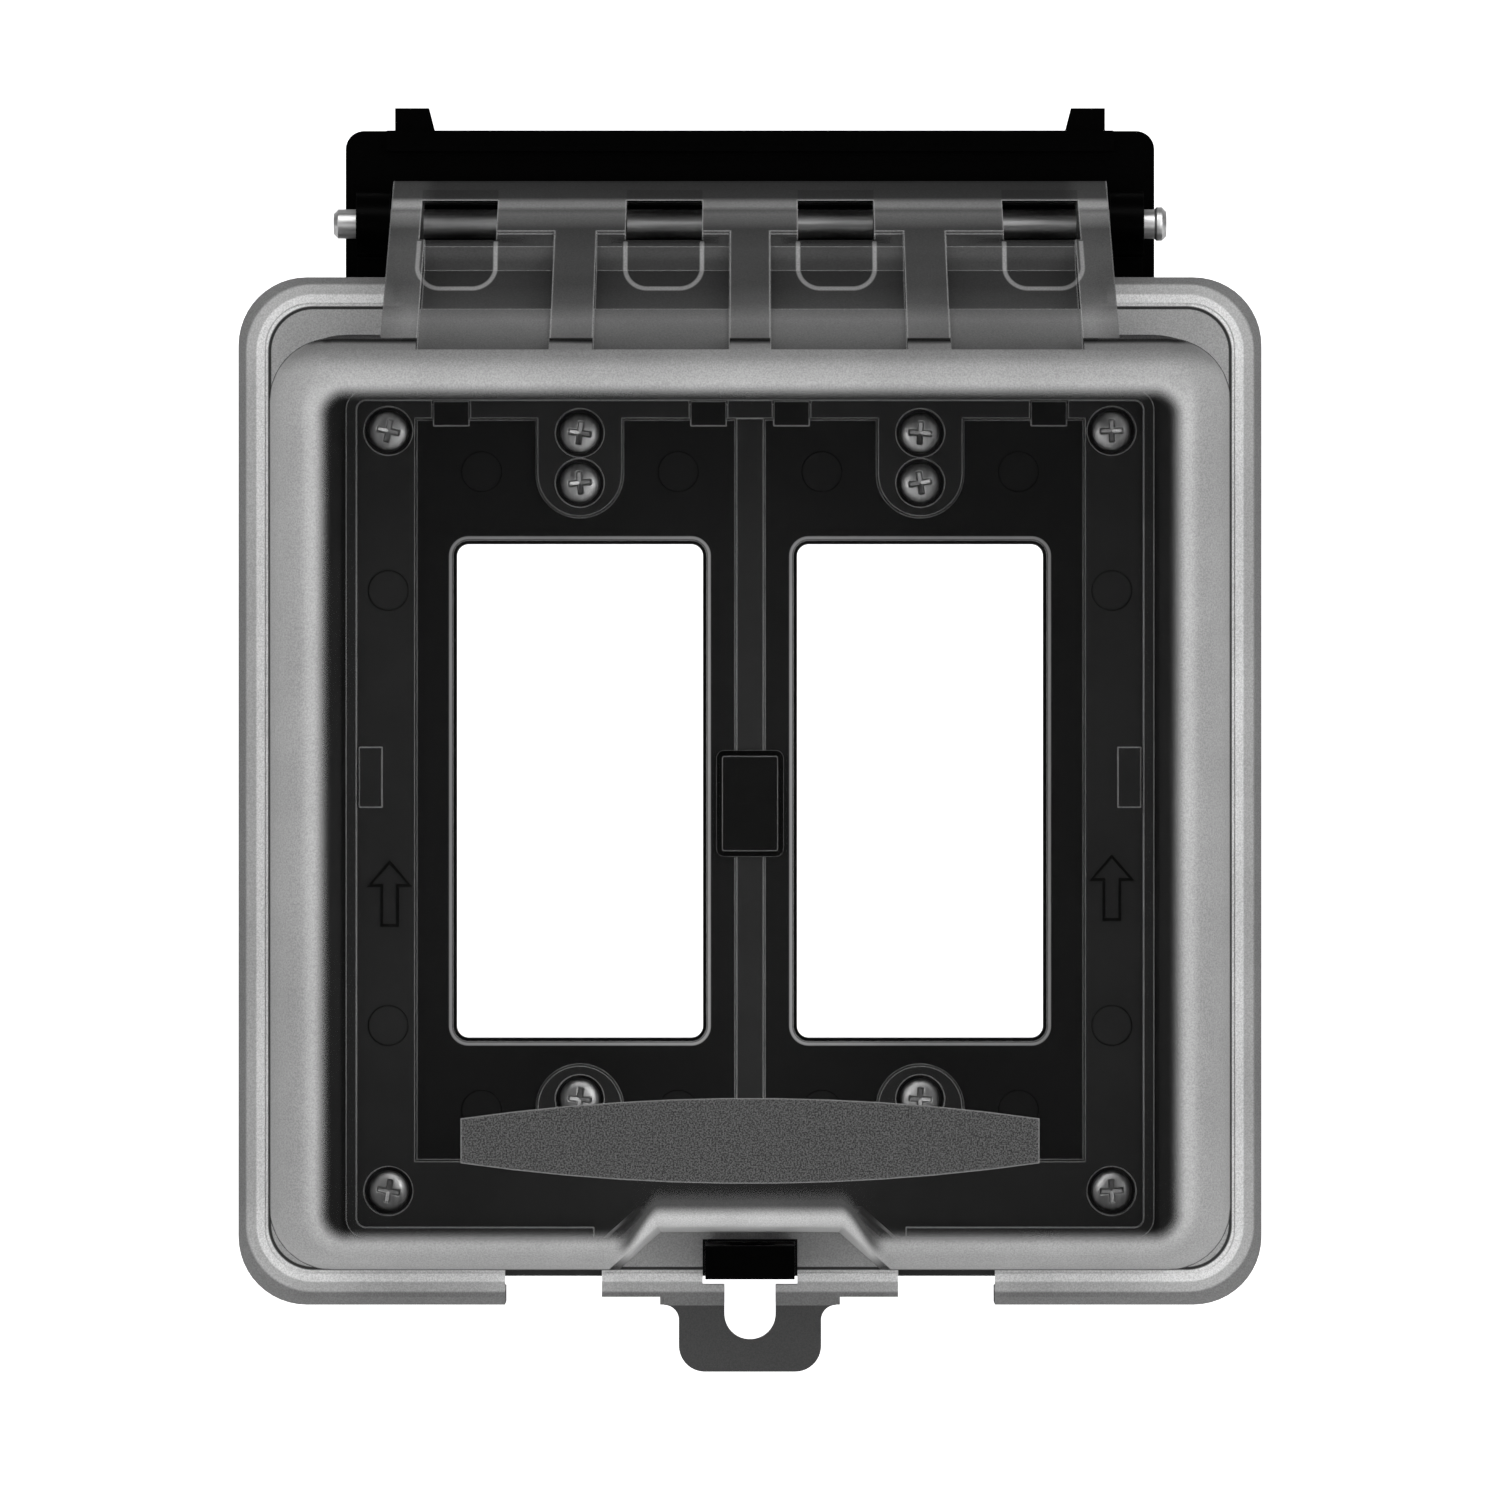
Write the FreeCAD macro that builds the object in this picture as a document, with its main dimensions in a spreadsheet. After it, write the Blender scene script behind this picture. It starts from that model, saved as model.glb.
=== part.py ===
import FreeCAD, Part
import math
import os
import Sketcher

# Weatherproof in-use outlet cover, two gang.
# X runs to the right, Z up, and the wall is the plane Y = 0 with the cover in front of it, at -Y.
# Every depth below is measured forward from the wall, so a depth of 11 is the plane Y = -11.
# The origin is the middle of the device screws, on the wall.

Vector = FreeCAD.Vector
doc = FreeCAD.newDocument("InUseCover")
sheet = doc.addObject("Spreadsheet::Sheet", "Sizes")

# Driving sizes, in millimetres and degrees
SIZES = [
    ("gang_spacing", 46.04, "between the middles of the two gangs"),
    ("inner_screws", 83.34, "between a gang's two inner screws"),
    ("screw_step", 6.75, "from a gang's inner screw to its outer screw"),
    ("window_in", 6.37, "device window, its inner side from the middle"),
    ("window_room", 8.27, "from the inner screws to the device window"),
    ("window_corner", 1.6, "device window, corner radius"),
    ("window_bevel", 0.5, "bevel round the window's front edge"),
    ("base_border", 11.0, "base, width beside the raised rim"),
    ("base_above", 11.4, "base, height above the raised rim"),
    ("base_below", 5.2, "base, height below the raised rim"),
    ("base_corner", 6.5, "base, corner radius"),
    ("base_front", 11.0, "base, depth of its front face"),
    ("base_wall", 2.4, "base, wall thickness"),
    ("gasket_thick", 1.5, "foam gasket, thickness"),
    ("gasket_wide", 5.4, "foam gasket, width of its ring"),
    ("gasket_inset", 0.6, "foam gasket, set back from the base's edge"),
    ("gasket_corner", 2.0, "foam gasket, inner corner radius"),
    ("column_wide", 9.3, "side column, from the tray to the rim's outside"),
    ("rim_above", 3.8, "raised rim, its upper side above the tray"),
    ("rim_below", 10.3, "raised rim, its lower side below the tray"),
    ("rim_wide", 1.4, "raised rim, thickness"),
    ("rim_tall", 1.2, "raised rim, height above the base's face"),
    ("rim_room", 1.2, "raised rim, room beside the cover's thumb notch"),
    ("rim_corner", 2.7, "raised rim, outer corner radius"),
    ("tray_border", 5.63, "plate tray, width beside the window"),
    ("tray_above", 1.98, "plate tray, height above the outer screws"),
    ("tray_below", 1.68, "plate tray, height below the outer screws"),
    ("tray_deep", 1.4, "plates lie this far below the base's face"),
    ("tray_wall", 2.0, "plate tray, thickness of its walls and floor"),
    ("web_half", 1.8, "web between the plates, half width"),
    ("plate_thick", 2.0, "device plate, thickness"),
    ("plate_gap", 0.2, "device plate, gap to its tray"),
    ("boss_half", 5.7, "tongue round two device screws, half width"),
    ("boss_reach", 1.2, "tongue, its round end's middle past the inner screw"),
    ("mark_tall", 0.5, "side tab, height above the face"),
    ("rib_up", 27.1, "upper stiffening rib, height"),
    ("rib_down", 31.7, "lower stiffening rib, drop"),
    ("tab_wide", 4.8, "plate tab, width"),
    ("tab_long", 2.3, "plate tab, length past the plate"),
    ("tab_side", 0.75, "plate tabs, their middle outside the window's side"),
    ("side_tab_wide", 3.1, "side tab, width"),
    ("side_tab_high", 8.1, "side tab, height"),
    ("side_tab_in", 3.3, "side tabs, their middle inside the rim's outside"),
    ("side_tab_up", 1.85, "side tabs, height"),
    ("corner_side", 3.6, "corner screws, beside the tray"),
    ("corner_under", 5.5, "upper corner screws, below the rim's upper side"),
    ("corner_over", 6.3, "lower corner screws, above the rim's lower side"),
    ("screw_radius", 1.7, "screw thread, radius"),
    ("neck_radius", 1.4, "screw neck under the head, radius"),
    ("thread_long", 10.5, "screw thread, length behind the wall"),
    ("head_radius", 2.75, "screw head, radius"),
    ("head_tall", 2.1, "screw head, height"),
    ("hole_gap", 0.2, "screw hole, gap round the shank"),
    ("seat_gap", 0.55, "counterbore, gap round the head"),
    ("seat_deep", 1.5, "counterbore, depth"),
    ("post_wall", 1.7, "screw post, wall round the hole"),
    ("clip_wide", 9.1, "centre clip, width"),
    ("clip_high", 14.4, "centre clip, height"),
    ("clip_thick", 1.7, "centre clip, thickness"),
    ("clip_drop", 1.7, "centre clip, its middle's drop"),
    ("clip_corner", 1.1, "centre clip, corner radius"),
    ("clip_bevel", 0.8, "centre clip, bevel of its long sides"),
    ("stem_half", 0.9, "clip stem, half thickness"),
    ("stem_high", 8.0, "clip stem, height"),
    ("stem_gap", 0.1, "clip stem, gap to its slot"),
    ("pin_above", 11.1, "hinge pin, height of its axis above the base"),
    ("pin_behind", 1.0, "hinge pin, its axis behind the base's front face"),
    ("pin_radius", 1.985, "hinge pin, radius"),
    ("pin_proud", 1.4, "hinge pin, length past the bracket"),
    ("pin_flare", 0.3, "hinge pin, flare of its right end"),
    ("pin_bevel", 0.6, "hinge pin, bevel of its ends"),
    ("pin_collar", 1.3, "hinge pin, length of its flared end"),
    ("pin_fit", 0.02, "hinge pin, gap in the knuckles"),
    ("pin_run", 0.06, "hinge pin, gap in the cover's barrel"),
    ("bracket_side", 1.7, "hinge bracket, width outside the knuckles"),
    ("bracket_above", 12.9, "hinge bracket, height above the pin's axis"),
    ("bracket_thick", 2.3, "hinge bracket, thickness"),
    ("bracket_corner", 2.5, "hinge bracket, corner radius"),
    ("ear_wide", 4.6, "bracket ear, width at its top"),
    ("ear_slant", 0.8, "bracket ear, slant of its inner side"),
    ("ear_tall", 3.1, "bracket ear, height above the bracket"),
    ("lip_high", 2.8, "bracket lip, height"),
    ("lip_deep", 1.6, "bracket lip, depth in front of the bracket"),
    ("lip_side", 1.1, "bracket lip, width past the roof's side"),
    ("knuckle_wide", 4.6, "knuckle, width"),
    ("knuckle_radius", 4.4, "knuckle, radius"),
    ("knuckle_gap", 0.4, "gap between the barrel and a knuckle"),
    ("knuckle_foot", 2.6, "knuckle, its foot behind the pin's axis"),
    ("tongue_half", 6.0, "lock tongue, half width"),
    ("tongue_gap", 0.5, "lock tongue, gap below its slot's upper side"),
    ("tongue_thick", 4.5, "lock tongue, thickness"),
    ("tongue_long", 10.3, "lock tongue, length in front of the flange"),
    ("shackle_hole", 3.5, "lock tongue, radius of the padlock's hole"),
    ("shackle_wall", 2.3, "lock tongue, wall in front of the padlock's hole"),
    ("cover_wall", 2.3, "cover, wall thickness"),
    ("cover_depth", 80.0, "cover, depth of its front face"),
    ("cover_gap", 0.4, "gap between the base's face and the flange"),
    ("skirt_gap", 1.2, "gap between the base's side and the skirt"),
    ("skirt_room", 1.5, "gap between the base's ends and the skirt"),
    ("flange_thick", 2.3, "flange, thickness"),
    ("flange_corner", 9.2, "flange, corner radius"),
    ("skirt_back", 2.0, "skirt, depth of its rear edge"),
    ("skirt_top_back", 8.0, "skirt, depth of its rear edge along the top"),
    ("skirt_step", 12.4, "short part of the skirt, drop of its start below the flange's top"),
    ("edge_bevel", 1.1, "flange, bevel of its front edge"),
    ("line_above", 3.8, "foot line, its upper side above the bubble"),
    ("line_wide", 0.4, "foot line, width"),
    ("line_deep", 0.3, "foot line, depth"),
    ("line_corner", 3.0, "foot line, its corner less round than the flange's"),
    ("ledge_side", 4.0, "flange, width beside the bubble"),
    ("ledge_top", 7.7, "flange, width above the bubble"),
    ("ledge_bottom", 4.7, "flange, width below the bubble"),
    ("bubble_corner", 10.8, "bubble, corner radius at its foot"),
    ("bubble_draft", 2.35, "bubble, draft of its walls in degrees"),
    ("shoulder", 7.2, "bubble, rounding of its front edge"),
    ("notch_half", 12.0, "thumb notch, half width of its floor"),
    ("notch_mouth", 17.6, "thumb notch, half width of its mouth"),
    ("notch_deep", 5.0, "thumb notch, depth"),
    ("notch_lean", 2.9, "thumb notch, lean of its floor in degrees"),
    ("roof_inset", 16.9, "roof, its side in from the bubble's side"),
    ("eave_drop", 4.02, "roof, its front edge below the bubble's top"),
    ("roof_thick", 5.0, "roof, thickness with its ribs"),
    ("roof_back", 7.0, "roof, its front edge behind the cover's face"),
    ("barrel_radius", 5.8, "barrel, radius"),
    ("rib_middle", 2.65, "middle rib, half width"),
    ("rib_in", 20.5, "side rib, its inner side"),
    ("rib_out", 26.1, "side rib, its outer side"),
    ("rib_proud", 0.5, "ribs, height above the roof between them"),
    ("rib_start", 19.5, "ribs, start along the slope"),
    ("roof_side", 4.8, "roof, width outside the outer pockets"),
    ("pocket_deep", 2.7, "roof pocket, depth"),
    ("pocket_near", 24.5, "roof pocket, start along the slope"),
    ("pocket_ramp", 3.5, "roof pocket, length of its leaning upper side"),
    ("pocket_end", 18.2, "roof pocket, end before the roof's front edge"),
    ("port_in", 6.4, "inner pin window, its inner side"),
    ("port_wide", 10.2, "pin window, width"),
    ("port_side", 14.3, "outer pin window, its inner side from the roof's side"),
    ("port_above", 2.8, "pin window, height above the pin's axis"),
    ("port_below", 3.1, "pin window, drop below the pin's axis"),
    ("port_wall", 1.6, "pin window, wall below it"),
    ("bar_inset", 27.6, "textured bar, its end in from the bubble's side"),
    ("bar_up", 19.6, "textured bar, its middle above the bubble's lower side"),
    ("bar_high", 5.55, "textured bar, half height at the middle"),
    ("bar_end", 2.9, "textured bar, half height at its ends"),
    ("bar_tall", 0.4, "textured bar, height above the front face"),
    ("hasp_side", 3.2, "hasp, width beside the tongue's slot"),
    ("hasp_root", 2.0, "hasp, radius at its root"),
    ("block_side", 2.55, "skirt's full part beside the hasp"),
    ("skirt_trim", 1.1, "skirt set back beside the hasp"),
    ("hasp_end", 4.3, "hasp, width below the padlock's hole"),
    ("hasp_corner", 3.5, "hasp, corner radius"),
    ("slot_gap", 0.4, "gap beside the lock tongue"),
    ("slot_drop", 0.8, "tongue slot, drop below the notch's floor"),
    ("slot_room", 1.1, "room below the lock tongue"),
    ("lock_half", 3.45, "padlock hole, half width"),
    ("lock_long", 7.5, "padlock hole, length below the slot"),
    ("exit_side", 3.53, "cable exit, its middle outside the gang's middle"),
    ("exit_half", 6.55, "cable exit, half width"),
    ("exit_long", 12.3, "cable exit, reach in front of the flange"),
]


class Size:
    """A length with its value and the formula that gives it from the sheet."""

    def __init__(self, value, formula):
        self.value = float(value)
        self.formula = formula

    def __add__(self, other):
        other = size_of(other)
        return Size(self.value + other.value, f"({self.formula} + {other.formula})")

    def __sub__(self, other):
        other = size_of(other)
        return Size(self.value - other.value, f"({self.formula} - {other.formula})")

    def __mul__(self, other):
        other = size_of(other)
        return Size(self.value * other.value, f"({self.formula} * {other.formula})")

    def __truediv__(self, other):
        other = size_of(other)
        return Size(self.value / other.value, f"({self.formula} / {other.formula})")

    def __radd__(self, other):
        return size_of(other) + self

    def __rsub__(self, other):
        return size_of(other) - self

    def __rmul__(self, other):
        return size_of(other) * self

    def __neg__(self):
        return Size(-self.value, f"(0 - {self.formula})")


def size_of(number):
    if isinstance(number, Size):
        return number
    return Size(number, f"({number})")


def sine(angle):
    return Size(math.sin(math.radians(angle.value)), f"sin({angle.formula} * 1 deg)")


def cosine(angle):
    return Size(math.cos(math.radians(angle.value)), f"cos({angle.formula} * 1 deg)")


def arc_tangent(ratio):
    return Size(math.degrees(math.atan(ratio.value)), f"(atan({ratio.formula}) / 1 deg)")


class Named:
    """The driving sizes by name."""


S = Named()
for row, (name, value, note) in enumerate(SIZES, start=1):
    sheet.set(f"A{row}", note)
    sheet.set(f"B{row}", str(value))
    sheet.setAlias(f"B{row}", name)
    setattr(S, name, Size(value, f"Sizes.{name}"))
doc.recompute()

# Depths that several pieces share
BASE_BACK = S.gasket_thick
TRAY_FACE = S.base_front - S.tray_deep
PLATE_BACK = TRAY_FACE - S.plate_thick
TRAY_BACK = PLATE_BACK - S.tray_wall
FRONT_BACK = S.base_front - S.base_wall
SEAT_DEPTH = S.base_front - S.seat_deep
FLANGE_BACK = S.base_front + S.cover_gap
FLANGE_FRONT = FLANGE_BACK + S.flange_thick
INNER_FRONT = S.cover_depth - S.cover_wall
ROOF_FRONT = S.cover_depth - S.roof_back
PIN_DEPTH = S.base_front - S.pin_behind
TONGUE_REACH = FLANGE_FRONT + S.tongue_long
EXIT_FRONT = FLANGE_FRONT + S.exit_long

# Widths, each a half width or a distance from the middle
GANG = S.gang_spacing / 2
WINDOW_HALF = GANG - S.window_in
TRAY_HALF = GANG + WINDOW_HALF + S.tray_border
CORNER_OUT = TRAY_HALF + S.corner_side
RIM_HALF = TRAY_HALF + S.column_wide
BASE_HALF = RIM_HALF + S.base_border
FLANGE_HALF = BASE_HALF + S.skirt_gap + S.cover_wall
BUBBLE_HALF = FLANGE_HALF - S.ledge_side
ROOF_HALF = BUBBLE_HALF - S.roof_inset
KNUCKLE_IN = ROOF_HALF + S.knuckle_gap
BRACKET_HALF = KNUCKLE_IN + S.knuckle_wide + S.bracket_side
PIN_HALF = BRACKET_HALF + S.pin_proud
TAB_OUT = WINDOW_HALF + S.tab_side
SLOT_HALF = S.tongue_half + S.slot_gap
HASP_HALF = SLOT_HALF + S.hasp_side
EXIT_MIDDLE = GANG + S.exit_side
BAR_HALF = BUBBLE_HALF - S.bar_inset

# Heights above the middle, and drops below it
INNER_SCREW = S.inner_screws / 2
OUTER_SCREW = INNER_SCREW + S.screw_step
WINDOW_HIGH = INNER_SCREW - S.window_room
BOSS_MIDDLE = INNER_SCREW + S.boss_reach
TRAY_TOP = OUTER_SCREW + S.tray_above
TRAY_BOTTOM = OUTER_SCREW + S.tray_below
RIM_TOP = TRAY_TOP + S.rim_above
RIM_BOTTOM = TRAY_BOTTOM + S.rim_below
CORNER_TOP = RIM_TOP - S.corner_under
CORNER_BOTTOM = RIM_BOTTOM - S.corner_over
BASE_TOP = RIM_TOP + S.base_above
BASE_BOTTOM = RIM_BOTTOM + S.base_below
FLANGE_TOP = BASE_TOP + S.skirt_room + S.cover_wall
FLANGE_BOTTOM = BASE_BOTTOM + S.skirt_room + S.cover_wall
BUBBLE_TOP = FLANGE_TOP - S.ledge_top
BUBBLE_BOTTOM = FLANGE_BOTTOM - S.ledge_bottom
PIN_HEIGHT = BASE_TOP + S.pin_above
BRACKET_TOP = PIN_HEIGHT + S.bracket_above
SLOT_TOP = BUBBLE_BOTTOM - S.notch_deep + S.slot_drop
TONGUE_TOP = SLOT_TOP + S.tongue_gap
TONGUE_BOTTOM = TONGUE_TOP + S.tongue_thick
SLOT_BOTTOM = TONGUE_BOTTOM + S.slot_room
LOCK_BOTTOM = SLOT_BOTTOM + S.lock_long
HASP_BOTTOM = LOCK_BOTTOM + S.hasp_end
BAR_MIDDLE = BUBBLE_BOTTOM - S.bar_up

# The roof falls from the barrel's top to its front edge just below the bubble's top
ROOF_SLOPE = arc_tangent((PIN_HEIGHT + S.barrel_radius + S.eave_drop - BUBBLE_TOP)
                         / (ROOF_FRONT - PIN_DEPTH))
SLOPE_RUN = (ROOF_FRONT - PIN_DEPTH) / cosine(ROOF_SLOPE)
ATTIC_START = (((S.barrel_radius - S.roof_thick) * cosine(ROOF_SLOPE) + S.port_below + S.port_wall)
               / sine(ROOF_SLOPE))

# Screws
HOLE_RADIUS = S.screw_radius + S.hole_gap
SEAT_RADIUS = S.head_radius + S.seat_gap
CORNERS = [
    (-CORNER_OUT, CORNER_TOP),
    (CORNER_OUT, CORNER_TOP),
    (-CORNER_OUT, -CORNER_BOTTOM),
    (CORNER_OUT, -CORNER_BOTTOM),
]
GANG_SCREWS = []
for gang in (-GANG, GANG):
    for height in (OUTER_SCREW, INNER_SCREW, -INNER_SCREW, -OUTER_SCREW):
        GANG_SCREWS.append((gang, height))


# Tools for sketches: every point is tied to the sheet by its formula
def new_body(label):
    body = doc.addObject("PartDesign::Body", label)
    body.Label = label
    return body


def new_sketch(body, name, role, offset=0):
    sketch = body.newObject("Sketcher::SketchObject", name)
    plane = [item for item in body.Origin.OriginFeatures if item.Role == role][0]
    sketch.AttachmentSupport = (plane, [""])
    sketch.MapMode = "FlatFace"
    offset = size_of(offset)
    sketch.setExpression("AttachmentOffset.Base.z", offset.formula)
    return sketch


def tie_point(sketch, geometry, point, x, y):
    tie_across(sketch, geometry, point, x)
    tie_up(sketch, geometry, point, y)


def tie_across(sketch, geometry, point, x):
    number = sketch.addConstraint(Sketcher.Constraint("DistanceX", -1, 1, geometry, point, x.value))
    sketch.setExpression(f"Constraints[{number}]", x.formula)


def tie_up(sketch, geometry, point, y):
    number = sketch.addConstraint(Sketcher.Constraint("DistanceY", -1, 1, geometry, point, y.value))
    sketch.setExpression(f"Constraints[{number}]", y.formula)


def draw_path(sketch, points):
    """A closed outline. A point is (x, y), followed by a line, or (x, y, cx, cy, turn),
    followed by an arc about (cx, cy) that turns left (1) or right (-1)."""
    points = [tuple(size_of(item) for item in point[:4]) + tuple(point[4:]) for point in points]
    ends = []
    for here, after in zip(points, points[1:] + points[:1]):
        start = Vector(here[0].value, here[1].value, 0)
        end = Vector(after[0].value, after[1].value, 0)
        if len(here) == 2:
            edge = sketch.addGeometry(Part.LineSegment(start, end), False)
            ends.append((edge, 1, 2))
            continue
        middle = Vector(here[2].value, here[3].value, 0)
        first, last = (start, end) if here[4] > 0 else (end, start)
        from_angle = math.atan2(first.y - middle.y, first.x - middle.x)
        to_angle = math.atan2(last.y - middle.y, last.x - middle.x)
        circle = Part.Circle(middle, Vector(0, 0, 1), (start - middle).Length)
        edge = sketch.addGeometry(Part.ArcOfCircle(circle, from_angle, to_angle), False)
        ends.append((edge, 1, 2) if here[4] > 0 else (edge, 2, 1))
        if abs(end.x - start.x) < abs(end.y - start.y):
            tie_across(sketch, edge, 3, here[2])
        else:
            tie_up(sketch, edge, 3, here[3])
    for number, (here, point) in enumerate(zip(ends, points)):
        before = ends[number - 1]
        sketch.addConstraint(Sketcher.Constraint("Coincident", before[0], before[2], here[0], here[1]))
        tie_point(sketch, here[0], here[1], point[0], point[1])


def draw_circle(sketch, x, y, radius):
    x, y, radius = size_of(x), size_of(y), size_of(radius)
    circle = Part.Circle(Vector(x.value, y.value, 0), Vector(0, 0, 1), radius.value)
    edge = sketch.addGeometry(circle, False)
    tie_point(sketch, edge, 3, x, y)
    number = sketch.addConstraint(Sketcher.Constraint("Radius", edge, radius.value))
    sketch.setExpression(f"Constraints[{number}]", radius.formula)


def draw_box(sketch, left, right, low, high):
    draw_path(sketch, [(left, low), (right, low), (right, high), (left, high)])


def rounded_box(left, right, low, high, radius):
    """The points of a rectangle with four round corners."""
    return [
        (left + radius, low),
        (right - radius, low, right - radius, low + radius, 1),
        (right, low + radius),
        (right, high - radius, right - radius, high - radius, 1),
        (right - radius, high),
        (left + radius, high, left + radius, high - radius, 1),
        (left, high - radius),
        (left, low + radius, left + radius, low + radius, 1),
    ]


# Tools for features
def add_pad(body, sketch, length, both=False):
    pad = body.newObject("PartDesign::Pad", sketch.Name + "_pad")
    return set_run(pad, sketch, length, both, False)


def add_pocket(body, sketch, length, both=False, forward=False):
    before = body.Shape.Volume
    pocket = body.newObject("PartDesign::Pocket", sketch.Name + "_cut")
    set_run(pocket, sketch, length, both, forward)
    if not pocket.Shape.Volume < before:
        raise RuntimeError(f"{pocket.Name} cuts nothing")
    return pocket


def set_run(feature, sketch, length, both, forward):
    feature.Profile = sketch
    feature.Midplane = both
    feature.Reversed = forward
    feature.setExpression("Length", size_of(length).formula)
    feature.Refine = True
    sketch.Visibility = False
    doc.recompute()
    return feature


def edges_where(shape, test):
    return [f"Edge{number}" for number, edge in enumerate(shape.Edges, start=1) if test(edge)]


def at_depth(edge, depth):
    """Whether a whole edge lies in the plane at that depth."""
    box = edge.BoundBox
    return abs(-box.YMin - depth.value) < 0.01 and abs(-box.YMax - depth.value) < 0.01


def add_fillet(body, test, radius):
    fillet = body.newObject("PartDesign::Fillet", "Round")
    base = body.Tip if body.Tip != fillet else fillet.BaseFeature
    fillet.Base = (base, edges_where(base.Shape, test))
    fillet.setExpression("Radius", size_of(radius).formula)
    doc.recompute()
    return fillet


def add_draft(body, depth, angle):
    """Lean a block's walls inwards from its rear face, which lies at that depth."""
    base = body.Tip
    walls = []
    for number, face in enumerate(base.Shape.Faces, start=1):
        box = face.BoundBox
        if box.YLength > 0.01:
            walls.append(f"Face{number}")
        elif abs(-box.YMax - depth.value) < 0.01:
            rear = f"Face{number}"
    draft = body.newObject("PartDesign::Draft", "Lean")
    draft.Base = (base, walls)
    draft.NeutralPlane = (base, [rear])
    draft.Reversed = True
    draft.setExpression("Angle", angle.formula)
    doc.recompute()
    return draft


def add_chamfer(body, test, width):
    chamfer = body.newObject("PartDesign::Chamfer", "Bevel")
    base = body.Tip if body.Tip != chamfer else chamfer.BaseFeature
    chamfer.Base = (base, edges_where(base.Shape, test))
    chamfer.setExpression("Size", size_of(width).formula)
    doc.recompute()
    return chamfer


# Base: a tray open at the back, with the hinge bracket above and the lock tongue below
def tray_outline(grow):
    """The trays' common outline, less the four tongues that hold the device screws."""
    half = TRAY_HALF - grow
    high = TRAY_TOP - grow
    low = TRAY_BOTTOM - grow
    wide = S.boss_half + grow
    points = []
    for gang in (-GANG, GANG):
        points.append((gang - wide, -low))
        points.append((gang - wide, -BOSS_MIDDLE, gang, -BOSS_MIDDLE, -1))
        points.append((gang + wide, -BOSS_MIDDLE))
        points.append((gang + wide, -low))
    points.append((half, -low))
    points.append((half, high))
    for gang in (GANG, -GANG):
        points.append((gang + wide, high))
        points.append((gang + wide, BOSS_MIDDLE, gang, BOSS_MIDDLE, -1))
        points.append((gang - wide, BOSS_MIDDLE))
        points.append((gang - wide, high))
    points.append((-half, high))
    points.append((-half, -low))
    return points


def gang_outline(side, gap):
    """One gang's plate outline, set in by a gap, with notches round the two tongues."""
    gang = side * GANG
    inner = side * (S.web_half + gap)
    outer = side * (TRAY_HALF - gap)
    high = TRAY_TOP - gap
    low = TRAY_BOTTOM - gap
    wide = S.boss_half + gap
    left, right = (outer, inner) if side < 0 else (inner, outer)
    return [
        (left, -low),
        (gang - wide, -low),
        (gang - wide, -BOSS_MIDDLE, gang, -BOSS_MIDDLE, -1),
        (gang + wide, -BOSS_MIDDLE),
        (gang + wide, -low),
        (right, -low),
        (right, high),
        (gang + wide, high),
        (gang + wide, BOSS_MIDDLE, gang, BOSS_MIDDLE, -1),
        (gang - wide, BOSS_MIDDLE),
        (gang - wide, high),
        (left, high),
    ]


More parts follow.
